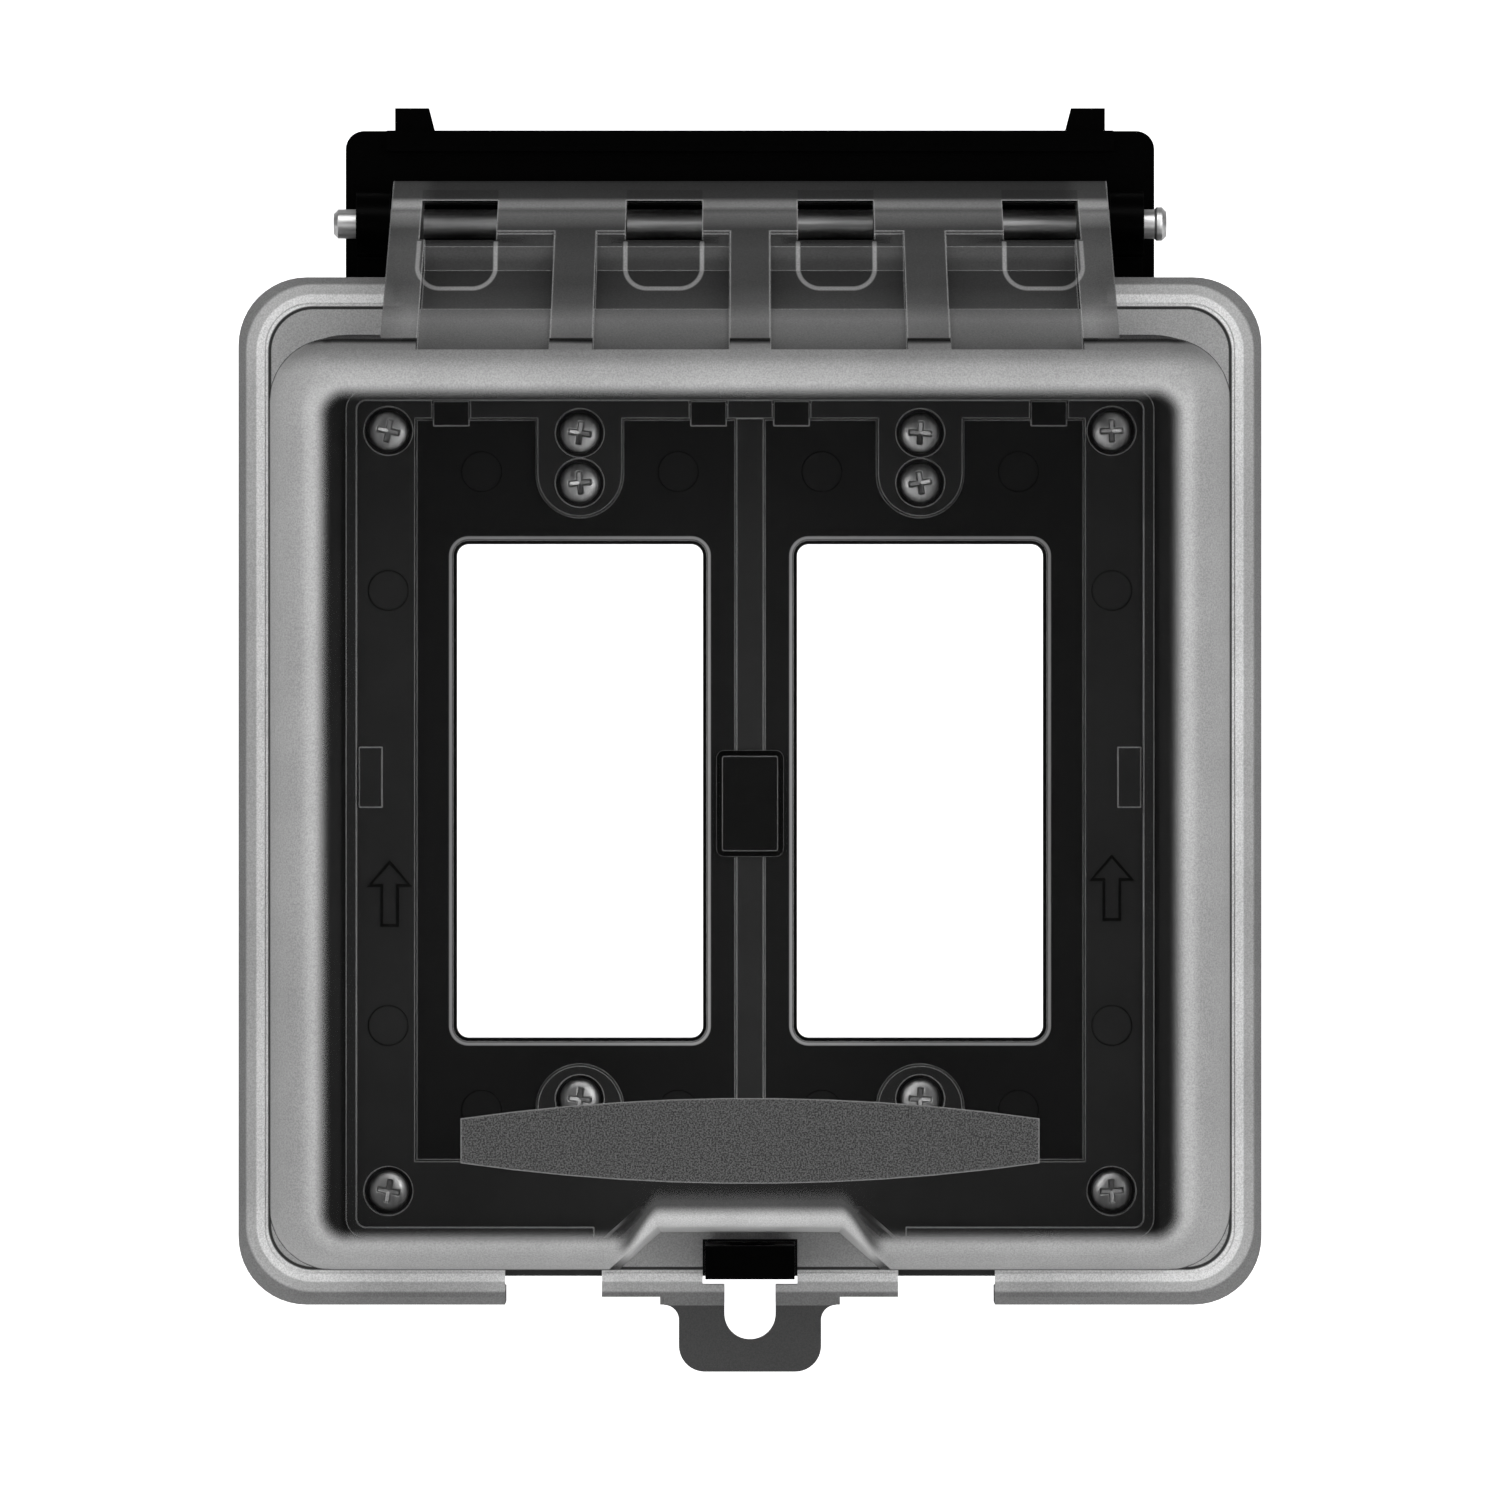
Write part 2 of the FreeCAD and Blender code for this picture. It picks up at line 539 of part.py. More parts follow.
def make_base():
    body = new_body("base")
    wall = S.base_wall
    inner = BASE_HALF - wall

    block = new_sketch(body, "BaseBlock", "XZ_Plane", BASE_BACK)
    draw_path(block, rounded_box(-BASE_HALF, BASE_HALF, -BASE_BOTTOM, BASE_TOP, S.base_corner))
    add_pad(body, block, S.base_front - BASE_BACK)

    hollow = new_sketch(body, "BaseHollow", "XZ_Plane", BASE_BACK)
    draw_path(hollow, rounded_box(-inner, inner, wall - BASE_BOTTOM, BASE_TOP - wall,
                                  S.base_corner - wall))
    add_pocket(body, hollow, FRONT_BACK - BASE_BACK, forward=True)

    # A thicker tray floor behind the plates
    floor = new_sketch(body, "TrayFloor", "XZ_Plane", TRAY_BACK)
    tray_side = TRAY_HALF + S.tray_wall
    draw_box(floor, -tray_side, tray_side, -TRAY_BOTTOM - S.tray_wall, TRAY_TOP + S.tray_wall)
    add_pad(body, floor, S.base_front - TRAY_BACK)

    # Posts behind the screws, down to the gasket's plane
    post = HOLE_RADIUS + S.post_wall
    posts = new_sketch(body, "CornerPosts", "XZ_Plane", BASE_BACK)
    for x, height in CORNERS:
        draw_box(posts, x - post, x + post, height - post, height + post)
    add_pad(body, posts, S.base_front - BASE_BACK)
    posts = new_sketch(body, "GangPosts", "XZ_Plane", BASE_BACK)
    for gang in (-GANG, GANG):
        draw_box(posts, gang - post, gang + post, INNER_SCREW - post, OUTER_SCREW + post)
        draw_box(posts, gang - post, gang + post, -OUTER_SCREW - post, post - INNER_SCREW)
    add_pad(body, posts, TRAY_FACE - BASE_BACK)

    # Ribs that stiffen the long side channels
    for name, height in (("UpperRib", S.rib_up), ("LowerRib", -S.rib_down)):
        rib = new_sketch(body, name, "XZ_Plane", BASE_BACK)
        thick = S.base_wall / 2
        draw_box(rib, -inner - 0.5, -TRAY_HALF - 1, height - thick / 2, height + thick / 2)
        draw_box(rib, TRAY_HALF + 1, inner + 0.5, height - thick / 2, height + thick / 2)
        add_pad(body, rib, FRONT_BACK - BASE_BACK + 0.5)

    # The trays for the plates
    step = new_sketch(body, "TrayStep", "XZ_Plane", S.base_front)
    draw_path(step, tray_outline(0))
    add_pocket(body, step, S.tray_deep)
    for side, name in ((-1, "LeftTray"), (1, "RightTray")):
        tray = new_sketch(body, name, "XZ_Plane", TRAY_FACE)
        draw_path(tray, gang_outline(side, size_of(0)))
        add_pocket(body, tray, S.plate_thick)

    # Openings for the devices, a little larger than the plates' windows
    ports = new_sketch(body, "DevicePorts", "XZ_Plane", S.base_front)
    wide = WINDOW_HALF + S.window_corner
    high = WINDOW_HIGH + S.window_corner
    for gang in (-GANG, GANG):
        draw_path(ports, rounded_box(gang - wide, gang + wide, -high, high, S.window_corner))
    add_pocket(body, ports, S.base_front)

    # Slots in the tray's upper edge for the plates' tabs
    slots = new_sketch(body, "TabSlots", "XZ_Plane", S.base_front)
    for gang in (-GANG, GANG):
        for way in (-1, 1):
            middle = gang + way * TAB_OUT
            across = S.tab_wide / 2 + S.plate_gap
            top = TRAY_TOP + S.tab_long + S.plate_gap
            draw_box(slots, middle - across, middle + across, TRAY_TOP - 0.5, top)
    add_pocket(body, slots, S.tray_deep + S.plate_thick / 2)

    # Raised rim and side tabs on the front face
    rim = new_sketch(body, "Rim", "XZ_Plane", S.base_front - 0.5)
    thick = S.rim_wide
    draw_path(rim, rounded_box(-RIM_HALF, RIM_HALF, -RIM_BOTTOM, RIM_TOP, S.rim_corner))
    draw_path(rim, rounded_box(thick - RIM_HALF, RIM_HALF - thick, thick - RIM_BOTTOM,
                               RIM_TOP - thick, S.rim_corner - thick))
    add_pad(body, rim, S.rim_tall + 0.5)

    # The rim stops where the cover's thumb notch comes down on it
    stop = new_sketch(body, "RimGap", "XZ_Plane", S.base_front)
    across = S.notch_mouth + S.cover_wall + S.rim_room
    draw_box(stop, -across, across, -RIM_BOTTOM - 1, S.rim_wide + 1 - RIM_BOTTOM)
    add_pocket(body, stop, S.rim_tall, forward=True)
    marks = new_sketch(body, "SideTabs", "XZ_Plane", S.base_front - 0.5)
    for way in (-1, 1):
        middle = way * (RIM_HALF - S.side_tab_in)
        across = S.side_tab_wide / 2
        up = S.side_tab_high / 2
        draw_box(marks, middle - across, middle + across, S.side_tab_up - up, S.side_tab_up + up)
    add_pad(body, marks, S.mark_tall + 0.5)

    # Screw holes with counterbores
    for name, places in (("CornerSeats", CORNERS), ("OuterSeats", GANG_SCREWS[0::4]
                         + GANG_SCREWS[3::4]), ("InnerSeats", GANG_SCREWS[1::4] + GANG_SCREWS[2::4])):
        seats = new_sketch(body, name, "XZ_Plane", S.base_front)
        for x, height in places:
            draw_circle(seats, x, height, SEAT_RADIUS)
        add_pocket(body, seats, S.seat_deep)
        holes = new_sketch(body, name + "Holes", "XZ_Plane", S.base_front)
        for x, height in places:
            draw_circle(holes, x, height, HOLE_RADIUS)
        add_pocket(body, holes, S.base_front)

    # Slot in the web for the clip's stem
    stem = new_sketch(body, "StemSlot", "XZ_Plane", TRAY_FACE)
    across = S.stem_half + S.stem_gap
    up = S.stem_high / 2 + S.stem_gap
    draw_box(stem, -across, across, -S.clip_drop - up, -S.clip_drop + up)
    add_pocket(body, stem, S.base_front)

    # Hinge bracket with its two ears, its lip and its knuckles
    plate = new_sketch(body, "Bracket", "XZ_Plane", BASE_BACK)
    out, top, corner = BRACKET_HALF, BRACKET_TOP, S.bracket_corner
    ear_in = ROOF_HALF - S.ear_wide
    ear_top = BRACKET_TOP + S.ear_tall
    foot = BASE_TOP - S.base_wall / 2
    points = [(-out, foot), (out, foot), (out, top - corner, out - corner, top - corner, 1),
              (out - corner, top), (ROOF_HALF, top), (ROOF_HALF, ear_top), (ear_in, ear_top),
              (ear_in - S.ear_slant, top), (S.ear_slant - ear_in, top), (-ear_in, ear_top),
              (-ROOF_HALF, ear_top), (-ROOF_HALF, top),
              (corner - out, top, corner - out, top - corner, 1), (-out, top - corner)]
    draw_path(plate, points)
    add_pad(body, plate, S.bracket_thick)
    bracket_face = BASE_BACK + S.bracket_thick
    lip = new_sketch(body, "BracketLip", "XZ_Plane", bracket_face - 0.5)
    across = ROOF_HALF + S.lip_side
    draw_box(lip, -across, across, top - S.lip_high, top)
    add_pad(body, lip, S.lip_deep + 0.5)
    for side, name in ((-1, "LeftKnuckle"), (1, "RightKnuckle")):
        start = KNUCKLE_IN if side > 0 else -KNUCKLE_IN - S.knuckle_wide
        web = new_sketch(body, name + "Web", "YZ_Plane", start)
        deep, high, radius = PIN_DEPTH, PIN_HEIGHT, S.knuckle_radius
        front = PIN_DEPTH - S.knuckle_foot
        draw_path(web, [(-BASE_BACK, foot), (-front, foot), (-front, high - radius),
                        (-deep, high - radius, -deep, high, -1),
                        (-deep, high + radius), (-BASE_BACK, high + radius)])
        add_pad(body, web, S.knuckle_wide)
    bore = new_sketch(body, "KnuckleBore", "YZ_Plane", 0)
    draw_circle(bore, -PIN_DEPTH, PIN_HEIGHT, S.pin_radius + S.pin_fit)
    add_pocket(body, bore, BRACKET_HALF * 2 + 10, both=True)

    # Lock tongue with the padlock's hole
    tongue = new_sketch(body, "Tongue", "YZ_Plane", 0)
    draw_box(tongue, -TONGUE_REACH, -FRONT_BACK, -TONGUE_BOTTOM, -TONGUE_TOP)
    add_pad(body, tongue, S.tongue_half * 2, both=True)
    ring = new_sketch(body, "ShackleHole", "XY_Plane", -TONGUE_BOTTOM)
    draw_circle(ring, 0, S.shackle_wall + S.shackle_hole - TONGUE_REACH, S.shackle_hole)
    add_pocket(body, ring, TONGUE_BOTTOM - TONGUE_TOP, forward=True)
    return body


# Foam ring that the base presses on the wall
def make_gasket():
    body = new_body("rear_gasket")
    ring = new_sketch(body, "GasketRing", "XZ_Plane", 0)
    out = BASE_HALF - S.gasket_inset
    top = BASE_TOP - S.gasket_inset
    low = BASE_BOTTOM - S.gasket_inset
    wide = S.gasket_wide
    draw_path(ring, rounded_box(-out, out, -low, top, S.base_corner - S.gasket_inset))
    draw_path(ring, rounded_box(wide - out, out - wide, wide - low, top - wide, S.gasket_corner))
    add_pad(body, ring, S.gasket_thick)
    return body


# Device plate with its window and tabs
def make_plate(label, side):
    body = new_body(label)
    gang = side * GANG
    flat = new_sketch(body, label + "_flat", "XZ_Plane", PLATE_BACK)
    draw_path(flat, gang_outline(side, S.plate_gap))
    wide = WINDOW_HALF
    high = WINDOW_HIGH
    draw_path(flat, rounded_box(gang - wide, gang + wide, -high, high, S.window_corner))
    add_pad(body, flat, S.plate_thick)
    add_chamfer(body, lambda edge: at_depth(edge, TRAY_FACE)
                and abs(edge.BoundBox.ZMin) < high.value + 0.01
                and abs(edge.BoundBox.ZMax) < high.value + 0.01
                and abs(edge.BoundBox.Center.x - gang.value) < wide.value + 0.01, S.window_bevel)
    tabs = new_sketch(body, label + "_tabs", "XZ_Plane", TRAY_FACE - S.plate_thick / 2)
    for way in (-1, 1):
        middle = gang + way * TAB_OUT
        across = S.tab_wide / 2
        draw_box(tabs, middle - across, middle + across, TRAY_TOP - 1, TRAY_TOP + S.tab_long)
    add_pad(body, tabs, S.plate_thick / 2 + S.tray_deep / 2)
    return body


# Clip over the plates' inner edges
def make_clip():
    body = new_body("centre_clip")
    head = new_sketch(body, "ClipHead", "XZ_Plane", TRAY_FACE)
    wide = S.clip_wide / 2
    high = S.clip_high / 2
    low = -S.clip_drop - high
    top = high - S.clip_drop
    draw_path(head, rounded_box(-wide, wide, low, top, S.clip_corner))
    add_pad(body, head, S.clip_thick)
    add_chamfer(body, lambda edge: at_depth(edge, TRAY_FACE + S.clip_thick)
                and edge.BoundBox.ZLength > high.value, S.clip_bevel)
    stem = new_sketch(body, "ClipStem", "XZ_Plane", PLATE_BACK)
    up = S.stem_high / 2
    draw_box(stem, -S.stem_half, S.stem_half, -S.clip_drop - up, up - S.clip_drop)
    add_pad(body, stem, TRAY_FACE - PLATE_BACK + 0.5)
    return body


# Cover: the bubble, its flange and skirt, the sloping roof, the barrel and the hasp
def bubble_block(body, name, inset, front):
    """The bubble's rounded block with leaning walls and the thumb notch in its lower side."""
    half = BUBBLE_HALF - inset
    outline = new_sketch(body, name, "XZ_Plane", FLANGE_BACK)
    draw_path(outline, rounded_box(-half, half, inset - BUBBLE_BOTTOM, BUBBLE_TOP - inset,
                                   S.bubble_corner - inset))
    add_pad(body, outline, front - FLANGE_BACK)
    add_draft(body, FLANGE_BACK, S.bubble_draft)

    # The notch leans further up towards the front than the wall that it is cut from
    notch = new_sketch(body, name + "Notch", "XZ_Plane", FLANGE_BACK)
    floor = S.notch_half + inset
    rise = BUBBLE_BOTTOM - S.notch_deep - inset
    spread = (S.notch_mouth - S.notch_half) / S.notch_deep
    reach = S.notch_deep * 2
    draw_path(notch, [(-floor - reach * spread, -rise - reach), (floor + reach * spread, -rise - reach),
                      (floor, -rise), (-floor, -rise)])
    cut = body.newObject("PartDesign::Pocket", name + "Notch_cut")
    cut.UseCustomVector = True
    cut.setExpression("Direction.x", "0")
    cut.setExpression("Direction.y", (-cosine(S.notch_lean)).formula)
    cut.setExpression("Direction.z", sine(S.notch_lean).formula)
    set_run(cut, notch, front - FLANGE_BACK + 5, False, False)
    add_fillet(body, lambda edge: at_depth(edge, front), S.shoulder - inset)


def along_roof(run, below):
    """A point on the roof's slope: a run from the pin, and a drop below the roof's surface."""
    out = S.barrel_radius - below
    depth = PIN_DEPTH + out * sine(ROOF_SLOPE) + run * cosine(ROOF_SLOPE)
    height = PIN_HEIGHT + out * cosine(ROOF_SLOPE) - run * sine(ROOF_SLOPE)
    return (-depth, height)


def on_flange_edge(box):
    """Whether an edge's box shows that it lies on the flange's outer outline."""
    half = FLANGE_HALF.value - 0.01
    top = FLANGE_TOP.value - 0.01
    low = 0.01 - FLANGE_BOTTOM.value
    on_side = max(abs(box.XMin), abs(box.XMax)) > half
    return on_side or box.ZMax > top or box.ZMin < low


def make_cover():
    body = new_body("cover")

    # The bubble's outside
    bubble_block(body, "BubbleOutside", size_of(0), S.cover_depth)

    # The flange and the skirt, with the flange's rounded front edge
    flange = new_sketch(body, "Flange", "XZ_Plane", FLANGE_BACK)
    draw_path(flange, rounded_box(-FLANGE_HALF, FLANGE_HALF, -FLANGE_BOTTOM, FLANGE_TOP,
                                  S.flange_corner))
    add_pad(body, flange, S.flange_thick)
    skirt = new_sketch(body, "Skirt", "XZ_Plane", S.skirt_back)
    wall = S.cover_wall
    draw_path(skirt, rounded_box(-FLANGE_HALF, FLANGE_HALF, -FLANGE_BOTTOM, FLANGE_TOP,
                                 S.flange_corner))
    draw_path(skirt, rounded_box(wall - FLANGE_HALF, FLANGE_HALF - wall, wall - FLANGE_BOTTOM,
                                 FLANGE_TOP - wall, S.flange_corner - wall))
    add_pad(body, skirt, FLANGE_BACK - S.skirt_back + S.flange_thick / 2)
    add_chamfer(body, lambda edge: at_depth(edge, FLANGE_FRONT) and on_flange_edge(edge.BoundBox),
                S.edge_bevel)
    trim = new_sketch(body, "SkirtTrim", "XZ_Plane", 0)
    draw_box(trim, -FLANGE_HALF - 1, FLANGE_HALF + 1, FLANGE_TOP - S.skirt_step, FLANGE_TOP + 1)
    add_pocket(body, trim, S.skirt_top_back, forward=True)

    # The skirt is set back between the hasp and the cable exits
    back = new_sketch(body, "SkirtSetBack", "XZ_Plane", 0)
    block = HASP_HALF + S.block_side
    end = EXIT_MIDDLE
    draw_box(back, -end, -block, -FLANGE_BOTTOM - 1, S.skirt_trim - FLANGE_BOTTOM)
    draw_box(back, block, end, -FLANGE_BOTTOM - 1, S.skirt_trim - FLANGE_BOTTOM)
    add_pocket(body, back, FLANGE_FRONT + 1, forward=True)

    # The roof's outside and the barrel
    roof = new_sketch(body, "RoofOutside", "YZ_Plane", 0)
    eave = along_roof(SLOPE_RUN, size_of(0))
    draw_path(roof, [(-FLANGE_BACK, BUBBLE_TOP - S.cover_wall), (-FLANGE_BACK, PIN_HEIGHT),
                     (-PIN_DEPTH, PIN_HEIGHT), along_roof(size_of(0), size_of(0)), eave,
                     (eave[0], BUBBLE_TOP - S.cover_wall - S.shoulder)])
    add_pad(body, roof, ROOF_HALF * 2, both=True)
    barrel = new_sketch(body, "Barrel", "YZ_Plane", 0)
    draw_circle(barrel, -PIN_DEPTH, PIN_HEIGHT, S.barrel_radius)
    add_pad(body, barrel, ROOF_HALF * 2, both=True)

    # Hasp below the flange
    hasp = new_sketch(body, "Hasp", "XZ_Plane", FLANGE_BACK)
    wide, low, corner, root = HASP_HALF, HASP_BOTTOM, S.hasp_corner, S.hasp_root
    shelf = -FLANGE_BOTTOM
    top = S.ledge_bottom / 2 - FLANGE_BOTTOM
    draw_path(hasp, [(corner - wide, -low), (wide - corner, -low, wide - corner, corner - low, 1),
                     (wide, corner - low), (wide, shelf - root, wide + root, shelf - root, -1),
                     (wide + root, shelf), (wide + root, top), (-wide - root, top),
                     (-wide - root, shelf, -wide - root, shelf - root, -1), (-wide, shelf - root),
                     (-wide, corner - low, corner - wide, corner - low, 1)])
    add_pad(body, hasp, S.flange_thick)

    # The inside of the bubble and of the roof
    core = new_body("bubble_core")
    bubble_block(core, "BubbleInside", S.cover_wall, INNER_FRONT)
    hollow = body.newObject("PartDesign::Boolean", "BubbleHollow")
    hollow.Type = "Cut"
    hollow.setObjects([core])
    doc.recompute()
    attic = new_sketch(body, "RoofInside", "YZ_Plane", 0)
    near = along_roof(ATTIC_START, S.roof_thick)
    far = along_roof(SLOPE_RUN - S.shoulder, S.roof_thick)
    draw_path(attic, [(-FLANGE_FRONT, BUBBLE_TOP - S.cover_wall - 4), (-FLANGE_FRONT, near[1]),
                      near, far, (far[0], BUBBLE_TOP - S.cover_wall - 4)])
    add_pocket(body, attic, (ROOF_HALF - S.cover_wall) * 2, both=True)

    # The roof between its ribs lies lower, with a pocket in each span
    side = ROOF_HALF - S.roof_side
    far = SLOPE_RUN - S.pocket_end
    spans = [(-side, -S.rib_out), (-S.rib_in, -S.rib_middle), (S.rib_middle, S.rib_in),
             (S.rib_out, side)]
    for number, (left, right) in enumerate(spans, start=1):
        cup = new_sketch(body, f"RoofPocket{number}", "YZ_Plane", left)
        above, floor, end = -S.rib_proud * 4, S.rib_proud, SLOPE_RUN + 2
        draw_path(cup, [along_roof(S.rib_start, floor), along_roof(S.rib_start, above),
                        along_roof(end, above), along_roof(end, floor), along_roof(far, floor),
                        along_roof(far, S.pocket_deep),
                        along_roof(S.pocket_near + S.pocket_ramp, S.pocket_deep),
                        along_roof(S.pocket_near, floor)])
        add_pocket(body, cup, right - left, forward=True)

    # Windows through the roof and the barrel that show the pin, and the pin's bore
    ports = new_sketch(body, "PinWindows", "XZ_Plane", ROOF_FRONT)
    low = PIN_HEIGHT - S.port_below
    high = PIN_HEIGHT + S.port_above
    for start in (S.port_in, ROOF_HALF - S.port_side):
        end = start + S.port_wide
        draw_box(ports, start, end, low, high)
        draw_box(ports, -end, -start, low, high)
    add_pocket(body, ports, ROOF_FRONT)
    bore = new_sketch(body, "BarrelBore", "YZ_Plane", 0)
    draw_circle(bore, -PIN_DEPTH, PIN_HEIGHT, S.pin_radius + S.pin_run)
    add_pocket(body, bore, ROOF_HALF * 2 + 10, both=True)

    # Slot for the tongue, joined to the padlock's hole
    slot = new_sketch(body, "TongueSlot", "XZ_Plane", FLANGE_FRONT + 1)
    draw_box(slot, -SLOT_HALF, SLOT_HALF, -SLOT_BOTTOM, -SLOT_TOP)
    add_pocket(body, slot, S.flange_thick + 2)
    lock = new_sketch(body, "PadlockHole", "XZ_Plane", FLANGE_FRONT + 1)
    round_middle = S.lock_half - LOCK_BOTTOM
    draw_path(lock, [(-S.lock_half, round_middle, 0, round_middle, 1),
                     (S.lock_half, round_middle), (S.lock_half, -SLOT_BOTTOM + 1),
                     (-S.lock_half, -SLOT_BOTTOM + 1)])
    add_pocket(body, lock, FLANGE_FRONT + 1)

    # Cable exits through the skirt, the flange and the bubble's lower wall
    for side, name in ((-1, "LeftExit"), (1, "RightExit")):
        middle = side * EXIT_MIDDLE
        radius = S.exit_half
        gap = new_sketch(body, name, "XY_Plane", -FLANGE_BOTTOM - 1)
        front = radius - EXIT_FRONT
        draw_path(gap, [(middle - radius, 0), (middle - radius, front, middle, front, 1),
                        (middle + radius, front), (middle + radius, 0)])
        add_pocket(body, gap, S.ledge_bottom + S.cover_wall + 5, forward=True)

    # Textured bar on the front face
    bar = new_sketch(body, "FrontBar", "XZ_Plane", S.cover_depth - 0.5)
    long, high, end, drop = BAR_HALF, S.bar_high, S.bar_end, BAR_MIDDLE
    rise = high - end
    bow = (long * long + rise * rise) / (2 * rise)
    draw_path(bar, [(-long, -drop - end, 0, bow - high - drop, 1), (long, -drop - end),
                    (long, end - drop, 0, high - drop - bow, 1), (-long, end - drop)])
    add_pad(body, bar, S.bar_tall + 0.5)

    # The foot line round the bubble
    line = new_sketch(body, "FootLine", "XZ_Plane", FLANGE_FRONT)
    half, thick = BUBBLE_HALF, S.line_wide
    top = BUBBLE_TOP + S.line_above
    low = BUBBLE_BOTTOM
    corner = S.flange_corner - S.line_corner
    draw_path(line, rounded_box(-half - thick, half + thick, -low - thick, top + thick, corner))
    draw_path(line, rounded_box(-half, half, -low, top, corner - thick))
    add_pocket(body, line, S.line_deep)
    return body


# Screws, all alike: a pan head, a neck up to the wall, and the thread's outside behind it
def make_screw(label, x, height):
    body = new_body(label)
    profile = new_sketch(body, label + "_profile", "XY_Plane", 0)
    wide, tall, tip = S.head_radius, S.head_tall, SEAT_DEPTH + S.thread_long
    draw_path(profile, [(0, -tall), (wide, -tall), (wide, 0), (S.neck_radius, 0),
                        (S.neck_radius, SEAT_DEPTH), (S.screw_radius, SEAT_DEPTH),
                        (S.screw_radius, tip), (0, tip)])
    turn = body.newObject("PartDesign::Revolution", label + "_turn")
    turn.Profile = profile
    turn.ReferenceAxis = (profile, ["V_Axis"])
    turn.Angle = 360
    body.setExpression("Placement.Base.x", x.formula)
    body.setExpression("Placement.Base.y", (-SEAT_DEPTH).formula)
    body.setExpression("Placement.Base.z", height.formula)
    doc.recompute()
    return body


# Hinge pin: chamfered at the left, flared at the right
def make_pin():
    body = new_body("hinge_pin")
    profile = new_sketch(body, "PinProfile", "XY_Plane", 0)
    long, radius = PIN_HALF, S.pin_radius
    flare, bevel, collar = S.pin_flare, S.pin_bevel, S.pin_collar
    draw_path(profile, [(-long, 0), (long, 0), (long, radius + flare - bevel),
                        (long - bevel, radius + flare), (long - collar, radius + flare),
                        (long - collar - flare, radius), (bevel - long, radius),
                        (-long, radius - bevel)])
    turn = body.newObject("PartDesign::Revolution", "PinTurn")
    turn.Profile = profile
    turn.ReferenceAxis = (profile, ["H_Axis"])
    turn.Angle = 360
    body.setExpression("Placement.Base.y", (-PIN_DEPTH).formula)
    body.setExpression("Placement.Base.z", PIN_HEIGHT.formula)
    doc.recompute()
    return body


def make_all():
    nodes = [make_base(), make_gasket(), make_plate("left_plate", -1), make_plate("right_plate", 1),
             make_clip(), make_cover(), make_pin()]
    for number, (x, height) in enumerate(CORNERS, start=1):
        nodes.append(make_screw(f"corner_screw_{number}", x, height))
    for number, (x, height) in enumerate(GANG_SCREWS, start=1):
        nodes.append(make_screw(f"gang_screw_{number}", x, height))
    return nodes


nodes = make_all()
doc.recompute()
for item in doc.Objects:
    if "Invalid" in item.State or "Error" in item.State:
        raise RuntimeError(f"{item.Name} failed: {item.State}")
for node in nodes:
    if node.Shape.isNull() or not node.Shape.isValid():
        raise RuntimeError(f"{node.Label} has no valid shape")
os.makedirs("parts", exist_ok=True)
for node in nodes:
    node.Shape.exportStep(f"parts/{node.Label}.step")
    print(node.Label, len(node.Shape.Solids), round(node.Shape.Volume, 1))
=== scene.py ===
import math
import bmesh
import bpy
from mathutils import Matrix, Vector


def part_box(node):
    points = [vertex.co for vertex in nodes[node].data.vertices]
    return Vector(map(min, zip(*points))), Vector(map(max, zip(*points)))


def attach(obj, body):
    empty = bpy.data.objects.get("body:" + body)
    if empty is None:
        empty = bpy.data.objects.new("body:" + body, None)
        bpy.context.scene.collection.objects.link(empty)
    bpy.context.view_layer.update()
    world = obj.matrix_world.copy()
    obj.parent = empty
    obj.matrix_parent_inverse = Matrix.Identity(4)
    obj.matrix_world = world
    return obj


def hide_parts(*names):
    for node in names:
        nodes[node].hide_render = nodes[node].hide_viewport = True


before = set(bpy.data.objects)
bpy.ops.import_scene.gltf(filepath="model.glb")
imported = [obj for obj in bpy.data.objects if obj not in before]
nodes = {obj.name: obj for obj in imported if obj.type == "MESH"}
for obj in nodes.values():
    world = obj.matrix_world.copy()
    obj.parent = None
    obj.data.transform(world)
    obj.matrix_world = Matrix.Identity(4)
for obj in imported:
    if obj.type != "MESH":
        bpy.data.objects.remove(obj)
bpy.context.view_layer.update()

# Sizes in metres, in the frame's own axes: the cover faces -Y and Z is up
MM = 0.001
COVER_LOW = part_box("cover")[0]
BAR_PROUD = 0.4 * MM
FRONT_FACE = COVER_LOW.y + BAR_PROUD
COLUMN_FACE = -11.0 * MM
PLATE_FACE = -9.6 * MM
FLANGE_DEPTH = 13.7 * MM
FLANGE_LOW = -69.45 * MM
GANG = 23.02 * MM

# The clear front, whose lower line climbs over the thumb notch, and the hood round the notch
CLEAR_HALF = 55.3 * MM
CLEAR_HIGH = 51.8 * MM
CLEAR_LOW = -57.5 * MM
CLEAR_CORNER = 3.0 * MM
CLEAR_THICK = 5.0 * MM
FROST_START = -1.2 * MM
FROST_END = 1.3 * MM
# The painted highlight on the shoulder fades out by here
GLOW_END = 3.2 * MM
NOTCH_IN = 11.7 * MM
NOTCH_OUT = 17.0 * MM
NOTCH_RISE = 5.5 * MM
HOOD_HIGH = -45.0 * MM
HOOD_IN = 15.5 * MM
HOOD_OUT = 18.0 * MM

# The foot line round the bubble, where the flange starts
FOOT_HALF = 65.1 * MM
FOOT_MIDDLE = 0.4 * MM
FOOT_CORNER = 6.2 * MM
